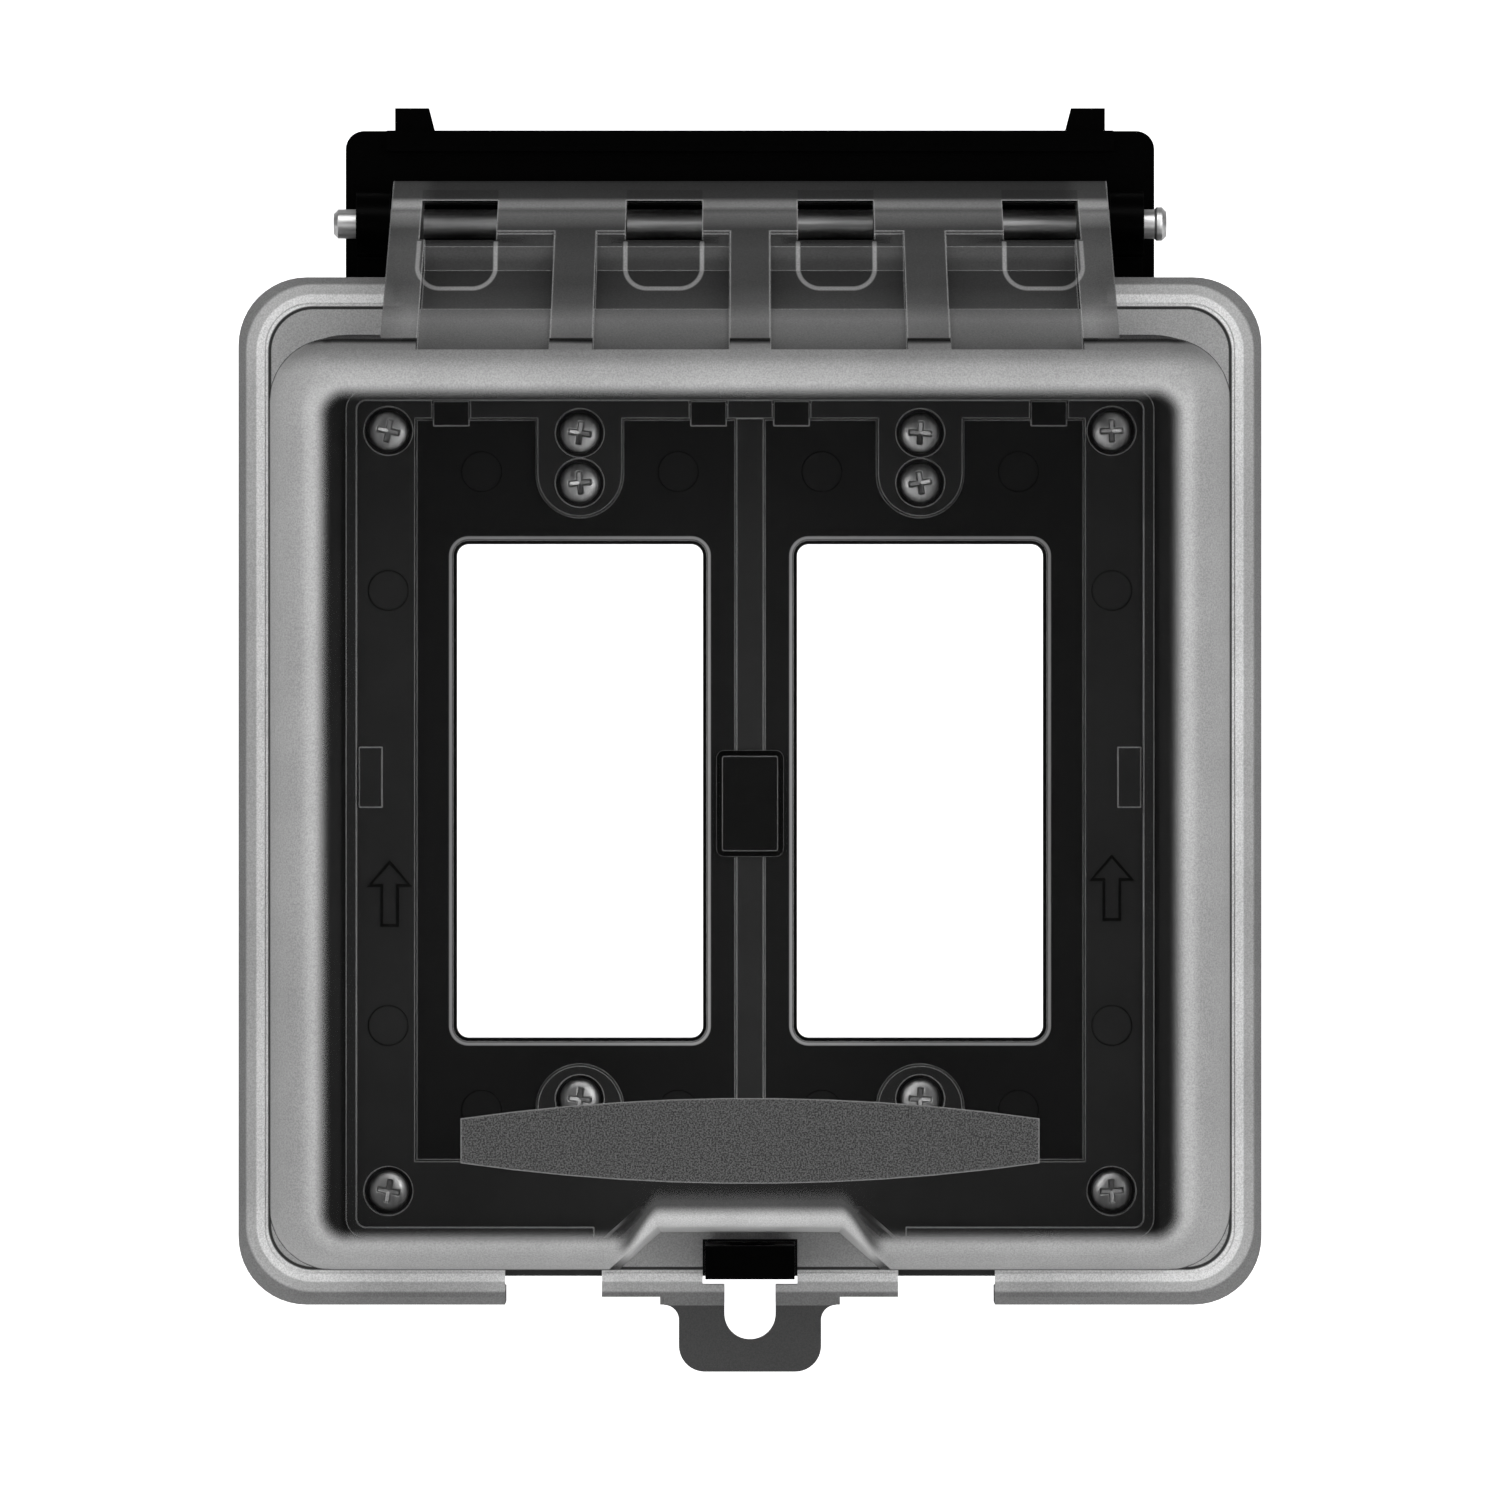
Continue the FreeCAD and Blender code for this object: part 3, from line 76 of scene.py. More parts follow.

# The roof: its sides, its slope, the barrel and the wells below the pin's windows, painted in as shade
# with highlight rims
ROOF_IN = 47.9 * MM
ROOF_OUT = 48.5 * MM
ROOF_LOW = 56.0 * MM
ROOF_BACK = -FLANGE_DEPTH - 1.0 * MM
ROOF_FRONT = FRONT_FACE + 6.9 * MM
BARREL_LOW = 69.6 * MM
SLOPE_DEPTH = 12.13 * MM
SLOPE_HEIGHT = 82.1 * MM
SLOPE_FALL = 0.3939
POCKET_START = 1.2 * MM
POCKET_END = 2.2 * MM
CHEEK_START = 42.0 * MM
CHEEK_END = 44.5 * MM
WELL_IN = 11.5 * MM
WELL_OUT = 39.0 * MM
WELL_HALF = 5.1 * MM
WELL_LOW = 66.7 * MM
WELL_CORNER = 3.0 * MM
PORT_LOW = 73.4 * MM

# The black parts: where the bracket, the tongue and the painted edge highlights begin
BRACKET_FOOT = 66.0 * MM
TONGUE_START = -14.5 * MM
EDGE_DEPTH = -6.0 * MM
EDGE_RADIUS = 0.2 * MM

# The device windows, with painted shade on their bevel and a painted highlight line on their lip
WINDOW_HALF = 16.65 * MM
WINDOW_HIGH = 33.4 * MM
WINDOW_CORNER = 1.6 * MM
LIP_START = 0.55 * MM
LIP_END = 1.05 * MM

# The photograph's view: straight on, from far away with a long lens
AIM_HEIGHT = 5.535 * MM
VIEW_DISTANCE = 1.65
PIXEL = 0.135 * MM
FRAME_PIXELS = 1500
SENSOR_MM = 36.0

# Tones of the materials, from 0 for black to 1 for white
BRACKET_TONE = 0.0004
# Painted highlight on the edges of the bracket and tongue
BRACKET_EDGE_HIGHLIGHT = 0.006
# Painted highlight line on the lip round each device window
LIP_HIGHLIGHT_TONE = 0.42
SHOULDER_SIDE = 0.44
SHOULDER_FRONT = 0.36
WALL_TONE = 0.06
HASP_TONE = 0.06
CLEAR_TONE = 0.03
# Painted highlight on the roof's edges and well rims
EDGE_HIGHLIGHT_TONE = 0.65
# Painted highlight on the bar's edges
BAR_EDGE_HIGHLIGHT = 0.3
BAR_DARK = 0.01
BAR_LIGHT = 0.1

# Painted highlight and shade rings on the flange, by the distance outside the foot line: where the tone
# changes, from and to in millimetres, and the tone after it
FOOT_TONE = 0.45
FLANGE_LIGHT_SHADE_RINGS = ((-0.55, -0.4, 0.03), (-0.15, 0.1, 0.92), (1.4, 1.7, 0.54), (2.7, 3.1, 0.22))

# Bands of light and shade down the sloping roof: height in millimetres and tone
ROOF_BANDS = ((57.5, 0.11), (60.3, 0.18), (61.9, 0.22), (64.3, 0.11), (67.0, 0.075), (72.0, 0.08),
              (75.2, 0.06), (76.2, 0.12), (77.4, 0.175), (78.0, 0.12), (78.6, 0.28), (79.2, 0.25),
              (79.9, 0.05), (82.5, 0.04))

# Share of the light that the clear front, the walls and the frosted parts hold back
CLEAR_SOLID = 0.02
WALL_SOLID = 0.6
FROST_SOLID = 0.92


# Small helpers for node trees
def new_material(name):
    material = bpy.data.materials.new(name)
    material.use_nodes = True
    tree = material.node_tree
    shader = tree.nodes["Principled BSDF"]
    return material, tree, shader


def place_node(tree, kind, **values):
    """A new node, with each value set on the input of that name, or else on the node."""
    node = tree.nodes.new(kind)
    for key, value in values.items():
        if key in node.inputs:
            node.inputs[key].default_value = value
        else:
            setattr(node, key, value)
    return node


def object_point(tree):
    return tree.nodes.new("ShaderNodeTexCoord").outputs["Object"]


def object_axes(tree, kind="Object"):
    """X, Y and Z of the point, or of the surface's direction, in the object's own axes."""
    coordinates = tree.nodes.new("ShaderNodeTexCoord")
    split = tree.nodes.new("ShaderNodeSeparateXYZ")
    tree.links.new(coordinates.outputs[kind], split.inputs["Vector"])
    return split.outputs["X"], split.outputs["Y"], split.outputs["Z"]


def noise(tree, scale, detail=4.0, roughness=0.6):
    texture = place_node(tree, "ShaderNodeTexNoise", Scale=scale, Detail=detail, Roughness=roughness)
    tree.links.new(object_point(tree), texture.inputs["Vector"])
    return texture.outputs["Fac"]


def connect(tree, socket, value):
    """Join a socket to another node's output, or set its number."""
    if isinstance(value, bpy.types.NodeSocket):
        tree.links.new(value, socket)
    else:
        socket.default_value = value


def math_node(tree, operation, first, second=0.0):
    node = place_node(tree, "ShaderNodeMath", operation=operation)
    connect(tree, node.inputs[0], first)
    connect(tree, node.inputs[1], second)
    return node.outputs["Value"]


def add(tree, first, second):
    return math_node(tree, "ADD", first, second)


def subtract(tree, first, second):
    return math_node(tree, "SUBTRACT", first, second)


def absolute(tree, value):
    return math_node(tree, "ABSOLUTE", value)


def larger(tree, first, second):
    return math_node(tree, "MAXIMUM", first, second)


def smaller(tree, first, second):
    return math_node(tree, "MINIMUM", first, second)


def below(tree, value, limit):
    """1 where the value is under the limit, otherwise 0."""
    return math_node(tree, "LESS_THAN", value, limit)


def over(tree, value, limit):
    """1 where the value is over the limit, otherwise 0."""
    return math_node(tree, "GREATER_THAN", value, limit)


def rest_of(tree, share):
    return subtract(tree, 1.0, share)


def product(tree, first, *others):
    for value in others:
        first = math_node(tree, "MULTIPLY", first, value)
    return first


def ramp(tree, value, start, end, low=0.0, high=1.0):
    """A value that goes smoothly from low to high as another goes from start to end."""
    node = place_node(tree, "ShaderNodeMapRange", interpolation_type="SMOOTHSTEP")
    connect(tree, node.inputs["Value"], value)
    node.inputs["From Min"].default_value = start
    node.inputs["From Max"].default_value = end
    node.inputs["To Min"].default_value = low
    node.inputs["To Max"].default_value = high
    return node.outputs["Result"]


def fade(tree, value, start, end):
    """1 up to the start, smoothly down to 0 at the end."""
    return ramp(tree, value, start, end, 1.0, 0.0)


def blend(tree, share, first, second):
    """One number where the share is 0 and another where it is 1."""
    node = place_node(tree, "ShaderNodeMix", data_type="FLOAT")
    connect(tree, node.inputs[0], share)
    connect(tree, node.inputs[2], first)
    connect(tree, node.inputs[3], second)
    return node.outputs[0]


def grey(tree, value):
    """A neutral colour of a given brightness."""
    node = tree.nodes.new("ShaderNodeCombineColor")
    for channel in range(3):
        connect(tree, node.inputs[channel], value)
    return node.outputs["Color"]


def add_bump(tree, shader, value, depth, strength=1.0):
    bump = place_node(tree, "ShaderNodeBump", Distance=depth)
    connect(tree, bump.inputs["Strength"], strength)
    tree.links.new(value, bump.inputs["Height"])
    tree.links.new(bump.outputs["Normal"], shader.inputs["Normal"])


def edge_mask(tree, radius, start=0.015, end=0.1):
    """1 on the object's edges and 0 on its faces."""
    rounded = place_node(tree, "ShaderNodeBevel", samples=3, Radius=radius)
    flat = tree.nodes.new("ShaderNodeNewGeometry").outputs["Normal"]
    dot = place_node(tree, "ShaderNodeVectorMath", operation="DOT_PRODUCT")
    tree.links.new(rounded.outputs["Normal"], dot.inputs[0])
    tree.links.new(flat, dot.inputs[1])
    return fade(tree, dot.outputs["Value"], 1 - end, 1 - start)


def rounded_reach(tree, right, up, corner):
    """Signed distance outside a box with round corners, from the distances outside its sides."""
    right = add(tree, right, corner)
    up = add(tree, up, corner)
    beside = larger(tree, right, 0.0)
    above = larger(tree, up, 0.0)
    squares = add(tree, product(tree, beside, beside), product(tree, above, above))
    far = math_node(tree, "SQRT", squares)
    near = smaller(tree, larger(tree, right, up), 0.0)
    return subtract(tree, add(tree, far, near), corner)


# Black plastic
def lip_shade_and_highlight(tree, x, z, shade):
    """Round each device window, painted shade on the black bevel and then a painted highlight line."""
    aside = absolute(tree, subtract(tree, absolute(tree, x), GANG))
    reach = rounded_reach(tree, subtract(tree, aside, WINDOW_HALF),
                          subtract(tree, absolute(tree, z), WINDOW_HIGH), WINDOW_CORNER)
    shade = blend(tree, ramp(tree, reach, LIP_END - 0.1 * MM, LIP_END + 0.1 * MM), LIP_HIGHLIGHT_TONE, shade)
    return blend(tree, ramp(tree, reach, LIP_START, LIP_START + 0.2 * MM), BRACKET_TONE, shade)


def black_plastic(name, tone, painted_edge_tone, radius=EDGE_RADIUS, lip=False):
    """Moulded black plastic: fine grain, painted shade away from the front faces, and a painted edge
    tone: a highlight where it is lighter than the body, shade where it is darker.
    """
    material, tree, shader = new_material(name)
    x, y, z = object_axes(tree)
    facing = absolute(tree, object_axes(tree, "Normal")[1])
    cloud = ramp(tree, noise(tree, 60.0, 3.0), 0.35, 0.65, tone * 0.92, tone * 1.08)
    # Painted shade: darker where the surface turns away from the front
    shade = product(tree, cloud, ramp(tree, facing, 0.75, 0.95, 0.25, 1.0))
    if lip:
        shade = lip_shade_and_highlight(tree, x, z, shade)
    outside = larger(tree, over(tree, z, BRACKET_FOOT), below(tree, y, TONGUE_START))
    shade = blend(tree, outside, shade, BRACKET_TONE)
    painted_edge = blend(tree, outside, painted_edge_tone, BRACKET_EDGE_HIGHLIGHT)
    # Painted highlight along the front edges, painted shade where the edge tone is darker than the body
    edges = product(tree, edge_mask(tree, radius), below(tree, y, EDGE_DEPTH))
    connect(tree, shader.inputs["Base Color"], grey(tree, blend(tree, edges, shade, painted_edge)))
    fine = noise(tree, 2500.0, 2.0)
    connect(tree, shader.inputs["Roughness"], ramp(tree, fine, 0.3, 0.7, 0.3, 0.36))
    connect(tree, shader.inputs["Specular IOR Level"], blend(tree, outside, 0.12, 0.02))
    add_bump(tree, shader, fine, 0.002 * MM)
    return material


# Smoky plastic: the tone of each region of the cover
def flange_painted_rings(tree, wide, z):
    """Painted highlight and shade rings on the flange."""
    high = absolute(tree, subtract(tree, z, FOOT_MIDDLE))
    outside = rounded_reach(tree, subtract(tree, wide, FOOT_HALF),
                            subtract(tree, high, FOOT_HALF), FOOT_CORNER)
    tone = FOOT_TONE
    for start, end, ring in FLANGE_LIGHT_SHADE_RINGS:
        tone = blend(tree, ramp(tree, outside, start * MM, end * MM), tone, ring)
    return tone


def shoulder_tone_and_light(tree, facing, rising, reach):
    """The round shoulder: a painted highlight beside the clear front, painted shade towards the top and
    a nearly black painted band where it turns up.
    """
    shade = product(tree, ramp(tree, facing, 0.5, 0.95, SHOULDER_SIDE, SHOULDER_FRONT),
                    ramp(tree, reach, FROST_END, GLOW_END, 1.2, 1.0))
    return product(tree, shade, ramp(tree, rising, 0.86, 0.93, 1.0, 0.06),
                   ramp(tree, rising, 0.35, 0.88, 1.0, 0.42))


def hood_light_and_shade(tree, under):
    """The hood over the thumb notch: painted shade at its lip, then a painted highlight band and a
    duller one.
    """
    hood = ramp(tree, under, 1.4 * MM, 3.4 * MM, 0.07, 0.72)
    return blend(tree, ramp(tree, under, 4.0 * MM, 4.8 * MM), hood, 0.6)


def roof_bands(tree, height):
    """The bands down the sloping roof, by height."""
    low = ROOF_BANDS[0][0]
    high = ROOF_BANDS[-1][0]
    share = math_node(tree, "DIVIDE", subtract(tree, height, low * MM), (high - low) * MM)
    node = tree.nodes.new("ShaderNodeValToRGB")
    stops = node.color_ramp.elements
    for number, (place, value) in enumerate(ROOF_BANDS):
        spot = (place - low) / (high - low)
        stop = stops[number] if number < 2 else stops.new(spot)
        stop.position = spot
        stop.color = (value, value, value, 1.0)
    connect(tree, node.inputs["Fac"], share)
    return node.outputs["Color"]


def well_reach(tree, wide, z):
    """Distance outside the nearest well below a window of the pin."""
    aside = smaller(tree, absolute(tree, subtract(tree, wide, WELL_IN)),
                    absolute(tree, subtract(tree, wide, WELL_OUT)))
    return rounded_reach(tree, subtract(tree, aside, WELL_HALF), subtract(tree, WELL_LOW, z),
                         WELL_CORNER)


def roof_light_and_shade(tree, wide, y, z, on_slope, edges):
    """The roof: painted bands of light and shade, painted shade in the pockets and wells, lighter
    cheeks, and painted highlights on the rims and edges.
    """
    well = well_reach(tree, wide, z)
    shaded_well = product(tree, fade(tree, well, -0.1 * MM, 0.1 * MM), on_slope)
    rim_highlight = product(tree, fade(tree, absolute(tree, well), 0.15 * MM, 0.4 * MM), below(tree, z, PORT_LOW))
    fall = product(tree, add(tree, y, SLOPE_DEPTH), SLOPE_FALL)
    drop = subtract(tree, add(tree, fall, SLOPE_HEIGHT), z)
    tone = product(tree, roof_bands(tree, z), blend(tree, shaded_well, 1.0, 0.75),
                   ramp(tree, drop, POCKET_START, POCKET_END, 1.0, 0.62),
                   ramp(tree, wide, CHEEK_START, CHEEK_END, 1.0, 1.6))
    lights = larger(tree, edges, product(tree, rim_highlight, 0.6))
    return blend(tree, product(tree, lights, 0.8), tone, EDGE_HIGHLIGHT_TONE)


def smoky_plastic():
    """Smoky moulding: polished clear front, frosted shoulder and flange, grained roof and bar, with
    painted highlights and shade on the shoulder, hood, flange, roof and edges.
    """
    material, tree, shader = new_material("smoky_cover")
    x, y, z = object_axes(tree)
    wide = absolute(tree, x)
    normal = object_axes(tree, "Normal")
    facing = absolute(tree, normal[1])
    rising = normal[2]
    grain = noise(tree, 4800.0, 2.0, 0.7)
    cloud = noise(tree, 45.0, 3.0)
    edges = edge_mask(tree, 1.6 * EDGE_RADIUS)

    # The clear front and the bar on it
    climb = ramp(tree, wide, NOTCH_IN, NOTCH_OUT, NOTCH_RISE, 0.0)
    under = subtract(tree, add(tree, climb, CLEAR_LOW), z)
    up = larger(tree, subtract(tree, z, CLEAR_HIGH), under)
    reach = rounded_reach(tree, subtract(tree, wide, CLEAR_HALF), up, CLEAR_CORNER)
    frosted = ramp(tree, reach, FROST_START, FROST_END)
    clear = product(tree, rest_of(tree, frosted), below(tree, y, FRONT_FACE + CLEAR_THICK))
    on_bar = below(tree, y, FRONT_FACE - 0.15 * MM)

    # The other regions
    inside = fade(tree, wide, ROOF_IN, ROOF_OUT)
    on_slope = product(tree, inside, over(tree, z, ROOF_LOW), below(tree, y, ROOF_BACK),
                       over(tree, y, ROOF_FRONT))
    on_barrel = product(tree, inside, over(tree, z, BARREL_LOW))
    roof = larger(tree, on_slope, on_barrel)
    on_flange = over(tree, y, -FLANGE_DEPTH - 0.5 * MM)
    on_hasp = below(tree, z, FLANGE_LOW)
    hooded = product(tree, fade(tree, wide, HOOD_IN, HOOD_OUT), below(tree, z, HOOD_HIGH))
    wall = product(tree, fade(tree, facing, 0.12, 0.3), rest_of(tree, hooded))

    # Each region's tone, with its painted highlights and shade, over the last, then cloud and grain
    shade = shoulder_tone_and_light(tree, facing, rising, reach)
    shade = blend(tree, hooded, shade, hood_light_and_shade(tree, under))
    shade = blend(tree, wall, shade, WALL_TONE)
    tone = blend(tree, on_flange, shade, flange_painted_rings(tree, wide, z))
    tone = blend(tree, on_hasp, tone, HASP_TONE)
    tone = blend(tree, roof, tone, roof_light_and_shade(tree, wide, y, z, on_slope, edges))
    tone = product(tree, tone, ramp(tree, cloud, 0.3, 0.7, 0.93, 1.07))
    tone = product(tree, tone, ramp(tree, grain, 0.3, 0.7, 0.82, 1.18))
    tone = blend(tree, clear, tone, CLEAR_TONE)
    speckle = ramp(tree, grain, 0.38, 0.62, BAR_DARK, BAR_LIGHT)
    # Painted highlight on the bar's edges, over its speckle
    tone = blend(tree, on_bar, tone, blend(tree, edges, speckle, BAR_EDGE_HIGHLIGHT))
    connect(tree, shader.inputs["Base Color"], grey(tree, tone))

    # How see-through, how rough and how shiny each region is
    open_wall = product(tree, wall, rest_of(tree, on_flange))
    solid = blend(tree, clear, blend(tree, open_wall, FROST_SOLID, WALL_SOLID), CLEAR_SOLID)
    connect(tree, shader.inputs["Alpha"], larger(tree, solid, on_bar))
    rough = blend(tree, larger(tree, roof, wall), 0.32, 0.5)
    connect(tree, shader.inputs["Roughness"], blend(tree, on_bar, rough, 0.6))
    dull = larger(tree, wall, ramp(tree, rising, 0.8, 0.95))
    connect(tree, shader.inputs["Specular IOR Level"], blend(tree, dull, 0.35, 0.0))
    shader.inputs["IOR"].default_value = 1.45
    add_bump(tree, shader, grain, 0.03 * MM, blend(tree, clear, 0.5, 0.0))
    return material


# Steel and foam
def brushed_steel(name, tone, grain_axis, roughness):
    """Drawn or plated steel with streaks along one axis."""
    material, tree, shader = new_material(name)
    mapping = tree.nodes.new("ShaderNodeMapping")
    scale = [1800.0, 1800.0, 1800.0]
    scale[grain_axis] = 60.0
    mapping.inputs["Scale"].default_value = scale
    tree.links.new(object_point(tree), mapping.inputs["Vector"])
    streak = place_node(tree, "ShaderNodeTexNoise", Scale=1.0, Detail=3.0)
    tree.links.new(mapping.outputs["Vector"], streak.inputs["Vector"])
    shade = ramp(tree, streak.outputs["Fac"], 0.35, 0.65, tone * 0.8, tone)
    connect(tree, shader.inputs["Base Color"], grey(tree, shade))
    connect(tree, shader.inputs["Roughness"], ramp(tree, streak.outputs["Fac"], 0.3, 0.7, *roughness))
    shader.inputs["Metallic"].default_value = 1.0
    add_bump(tree, shader, streak.outputs["Fac"], 0.01 * MM)
    return material


def foam():
    """Black closed-cell foam."""
    material, tree, shader = new_material("gasket_foam")
    cells = place_node(tree, "ShaderNodeTexVoronoi", Scale=1500.0)
    tree.links.new(object_point(tree), cells.inputs["Vector"])
    tone = ramp(tree, cells.outputs["Distance"], 0.0, 0.7, 0.01, 0.035)
    connect(tree, shader.inputs["Base Color"], grey(tree, tone))
    shader.inputs["Roughness"].default_value = 0.95
    add_bump(tree, shader, cells.outputs["Distance"], 0.1 * MM)
    return material


BASE_PLASTIC = black_plastic("base_plastic", 0.026, 0.7)
PLATE_PLASTIC = black_plastic("plate_plastic", 0.008, 0.7, lip=True)
CLIP_PLASTIC = black_plastic("clip_plastic", 0.002, 0.5)
ARROW_PLASTIC = black_plastic("arrow_plastic", 0.001, 0.001)
# Darker edge tone on these marks: painted shade round the ejector discs
COLUMN_MARKS = black_plastic("column_marks", 0.026, 0.003, 2 * EDGE_RADIUS)
PLATE_MARKS = black_plastic("plate_marks", 0.01, 0.0005, 2 * EDGE_RADIUS)
SMOKY = smoky_plastic()
PIN_STEEL = brushed_steel("pin_steel", 0.9, 0, (0.34, 0.46))
SCREW_STEEL = brushed_steel("screw_steel", 0.45, 2, (0.36, 0.5))
FOAM = foam()


# CAD nodes: smooth curved faces, hard edges and their materials
WELD_REACH = 0.002 * MM
PIN_BEVEL = 0.1 * MM
SPLIT_ANGLE = math.radians(29.0)
BEVEL_ANGLE = math.radians(35.0)


def dress_node(name, material, bevel=0.0):
    thing = nodes[name]
    thing.data.materials.clear()
    thing.data.materials.append(material)
    for face in thing.data.polygons:
        face.use_smooth = True
    weld = thing.modifiers.new("weld", "WELD")
    weld.merge_threshold = WELD_REACH
    if bevel:
        edge = thing.modifiers.new("soft_edges", "BEVEL")
        edge.width = bevel
        edge.segments = 2
        edge.limit_method = "ANGLE"
        edge.angle_limit = BEVEL_ANGLE
    split = thing.modifiers.new("hard_edges", "EDGE_SPLIT")
    split.split_angle = SPLIT_ANGLE
    shade = thing.modifiers.new("even_shading", "WEIGHTED_NORMAL")
    shade.keep_sharp = True


dress_node("base", BASE_PLASTIC)
dress_node("left_plate", PLATE_PLASTIC)
dress_node("right_plate", PLATE_PLASTIC)
dress_node("centre_clip", CLIP_PLASTIC)
dress_node("rear_gasket", FOAM)
dress_node("hinge_pin", PIN_STEEL, PIN_BEVEL)
dress_node("cover", SMOKY)


# Pieces made here
def add_piece(name, mesh_maker, material, body, rounded=True):
    mesh = bpy.data.meshes.new(name)
    work = bmesh.new()
    mesh_maker(work)
    bmesh.ops.recalc_face_normals(work, faces=work.faces)
    for face in work.faces:
        face.smooth = rounded
    work.to_mesh(mesh)
    work.free()
    mesh.materials.append(material)
    piece = bpy.data.objects.new(name, mesh)
    bpy.context.scene.collection.objects.link(piece)
    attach(piece, body)
    return piece


def skin(work, first, second):
    """Faces between two closed rings of points."""
    count = len(first)
    for step in range(count):
        after = (step + 1) % count
        work.faces.new((first[step], first[after], second[after], second[step]))


# Screws: a domed head with a cross recess, a neck and a rolled thread
HEAD_RADIUS = 2.75 * MM
HEAD_TALL = 2.1 * MM
HEAD_RINGS = 27
NECK_RADIUS = 1.4 * MM
THREAD_RADIUS = 1.7 * MM
THREAD_DEEP = 0.3 * MM
THREAD_PITCH = 0.8 * MM
THREAD_LONG = 10.5 * MM
RINGS_PER_PITCH = 5
SEAT = 9.5 * MM
TURN_STEPS = 72
CROSS_REACH = 1.55 * MM
CROSS_HALF = 0.34 * MM
CROSS_DEEP = 1.0 * MM


def smooth(value, start, end):
    share = min(1.0, max(0.0, (value - start) / (end - start)))
    return share * share * (3 - 2 * share)


def head_height(radius, angle):
    """Height of the head's outside above its seat."""
    share = radius / HEAD_RADIUS
    dome = HEAD_TALL * (0.5 + 0.5 * math.sqrt(max(0.0, 1 - share ** 2.6)))
    x, z = abs(radius * math.cos(angle)), abs(radius * math.sin(angle))
    arm, side = max(x, z), min(x, z)
    across = 1 - smooth(side, CROSS_HALF - 0.05 * MM, CROSS_HALF + 0.05 * MM)
    along = 1 - smooth(arm, CROSS_REACH - 0.15 * MM, CROSS_REACH + 0.05 * MM)
    slope = 1 - 0.55 * arm / CROSS_REACH
    return dome - CROSS_DEEP * across * along * slope


def thread_radius(angle, depth):
    """Radius of the thread at a depth behind the wall's face, with both ends running out."""
    phase = (depth / THREAD_PITCH + angle / (2 * math.pi)) % 1.0
    crest = abs(2 * phase - 1)
    start = smooth(depth, 0.0, THREAD_PITCH)
    end = 1 - smooth(depth, THREAD_LONG - THREAD_PITCH, THREAD_LONG)
    return THREAD_RADIUS - THREAD_DEEP * (1 - crest * (start * end))


def make_screw(work, middle, turn):
    """Rings from the head's middle to the thread's tip; heights are measured out from the seat."""
    def ring(radius_of, height_of):
        row = []
        for step in range(TURN_STEPS):
            angle = 2 * math.pi * step / TURN_STEPS
            radius = radius_of(angle)
            out = -SEAT - height_of(radius, angle - turn)
            row.append(work.verts.new((middle.x + radius * math.cos(angle), out,
                                       middle.z + radius * math.sin(angle))))
        return row

    def plain_ring(radius, height):
        return ring(lambda angle: radius, lambda reach, angle: height)

    wall = -SEAT
    rows = []
    for number in range(1, HEAD_RINGS + 1):
        reach = HEAD_RADIUS * number / HEAD_RINGS
        rows.append(ring(lambda angle: reach, head_height))
    rows.append(plain_ring(HEAD_RADIUS, HEAD_TALL * 0.4))
    rows.append(plain_ring(HEAD_RADIUS, 0.0))
    rows.append(plain_ring(NECK_RADIUS, 0.0))
    rows.append(plain_ring(NECK_RADIUS, wall))
    count = int(THREAD_LONG / THREAD_PITCH * RINGS_PER_PITCH)
    for number in range(count + 1):
        depth = THREAD_LONG * number / count
        rows.append(ring(lambda angle: thread_radius(angle, depth), lambda reach, angle: wall - depth))
    for first, second in zip(rows, rows[1:]):
        skin(work, first, second)
    tip = work.verts.new((middle.x, THREAD_LONG, middle.z))
    top = work.verts.new((middle.x, -SEAT - head_height(0.0, 0.0), middle.z))
    for step in range(TURN_STEPS):
        after = (step + 1) % TURN_STEPS
        work.faces.new((rows[0][after], rows[0][step], top))
        work.faces.new((rows[-1][step], rows[-1][after], tip))


SCREWS = sorted(name for name in nodes if "screw" in name)
for number, name in enumerate(SCREWS):
    low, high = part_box(name)
    turn = math.radians(number * 37 % 24 - 12)
    piece = add_piece(f"{name}_pan", lambda work: make_screw(work, (low + high) / 2, turn),
                      SCREW_STEEL, "base")
    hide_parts(name)


# Ejector discs on the side columns and the plates, and strips behind the slots of the plates' tabs
SUNK = 0.1 * MM
DISC_RADIUS = 2.75 * MM
DISC_TALL = 0.3 * MM
DISC_BEVEL = 0.1 * MM
DISC_STEPS = 64
DISC_OUT = 13.3 * MM
DISC_UP = 43.2 * MM
COLUMN_MIDDLE = 48.9 * MM
COLUMN_DISCS = (27.1 * MM, -31.7 * MM)
TAB_OUT = 17.4 * MM
CATCH_DEPTH = -8.2 * MM
CATCH_HEIGHT = 52.75 * MM
CATCH_SIZE = (5.6 * MM, 0.6 * MM, 1.4 * MM)


def make_discs(work, places, face):
    for x, z in places:
        rows = []
        for radius, out in ((DISC_RADIUS, -SUNK), (DISC_RADIUS, DISC_TALL - DISC_BEVEL),
                            (DISC_RADIUS - DISC_BEVEL, DISC_TALL)):
            row = []
            for step in range(DISC_STEPS):
                angle = 2 * math.pi * step / DISC_STEPS
                row.append(work.verts.new((x + radius * math.cos(angle), face - out,
                                           z + radius * math.sin(angle))))
            rows.append(row)
        for first, second in zip(rows, rows[1:]):
            skin(work, first, second)
        work.faces.new(rows[-1])
        work.faces.new(rows[0])


def make_catches(work):
    wide, deep, high = CATCH_SIZE
    for gang in (-GANG, GANG):
        for way in (-1, 1):
            middle = gang + way * TAB_OUT
            box = bmesh.ops.create_cube(work, size=1.0)["verts"]
            for vert in box:
                vert.co.x = middle + vert.co.x * wide
                vert.co.y = CATCH_DEPTH + vert.co.y * deep
                vert.co.z = CATCH_HEIGHT + vert.co.z * high


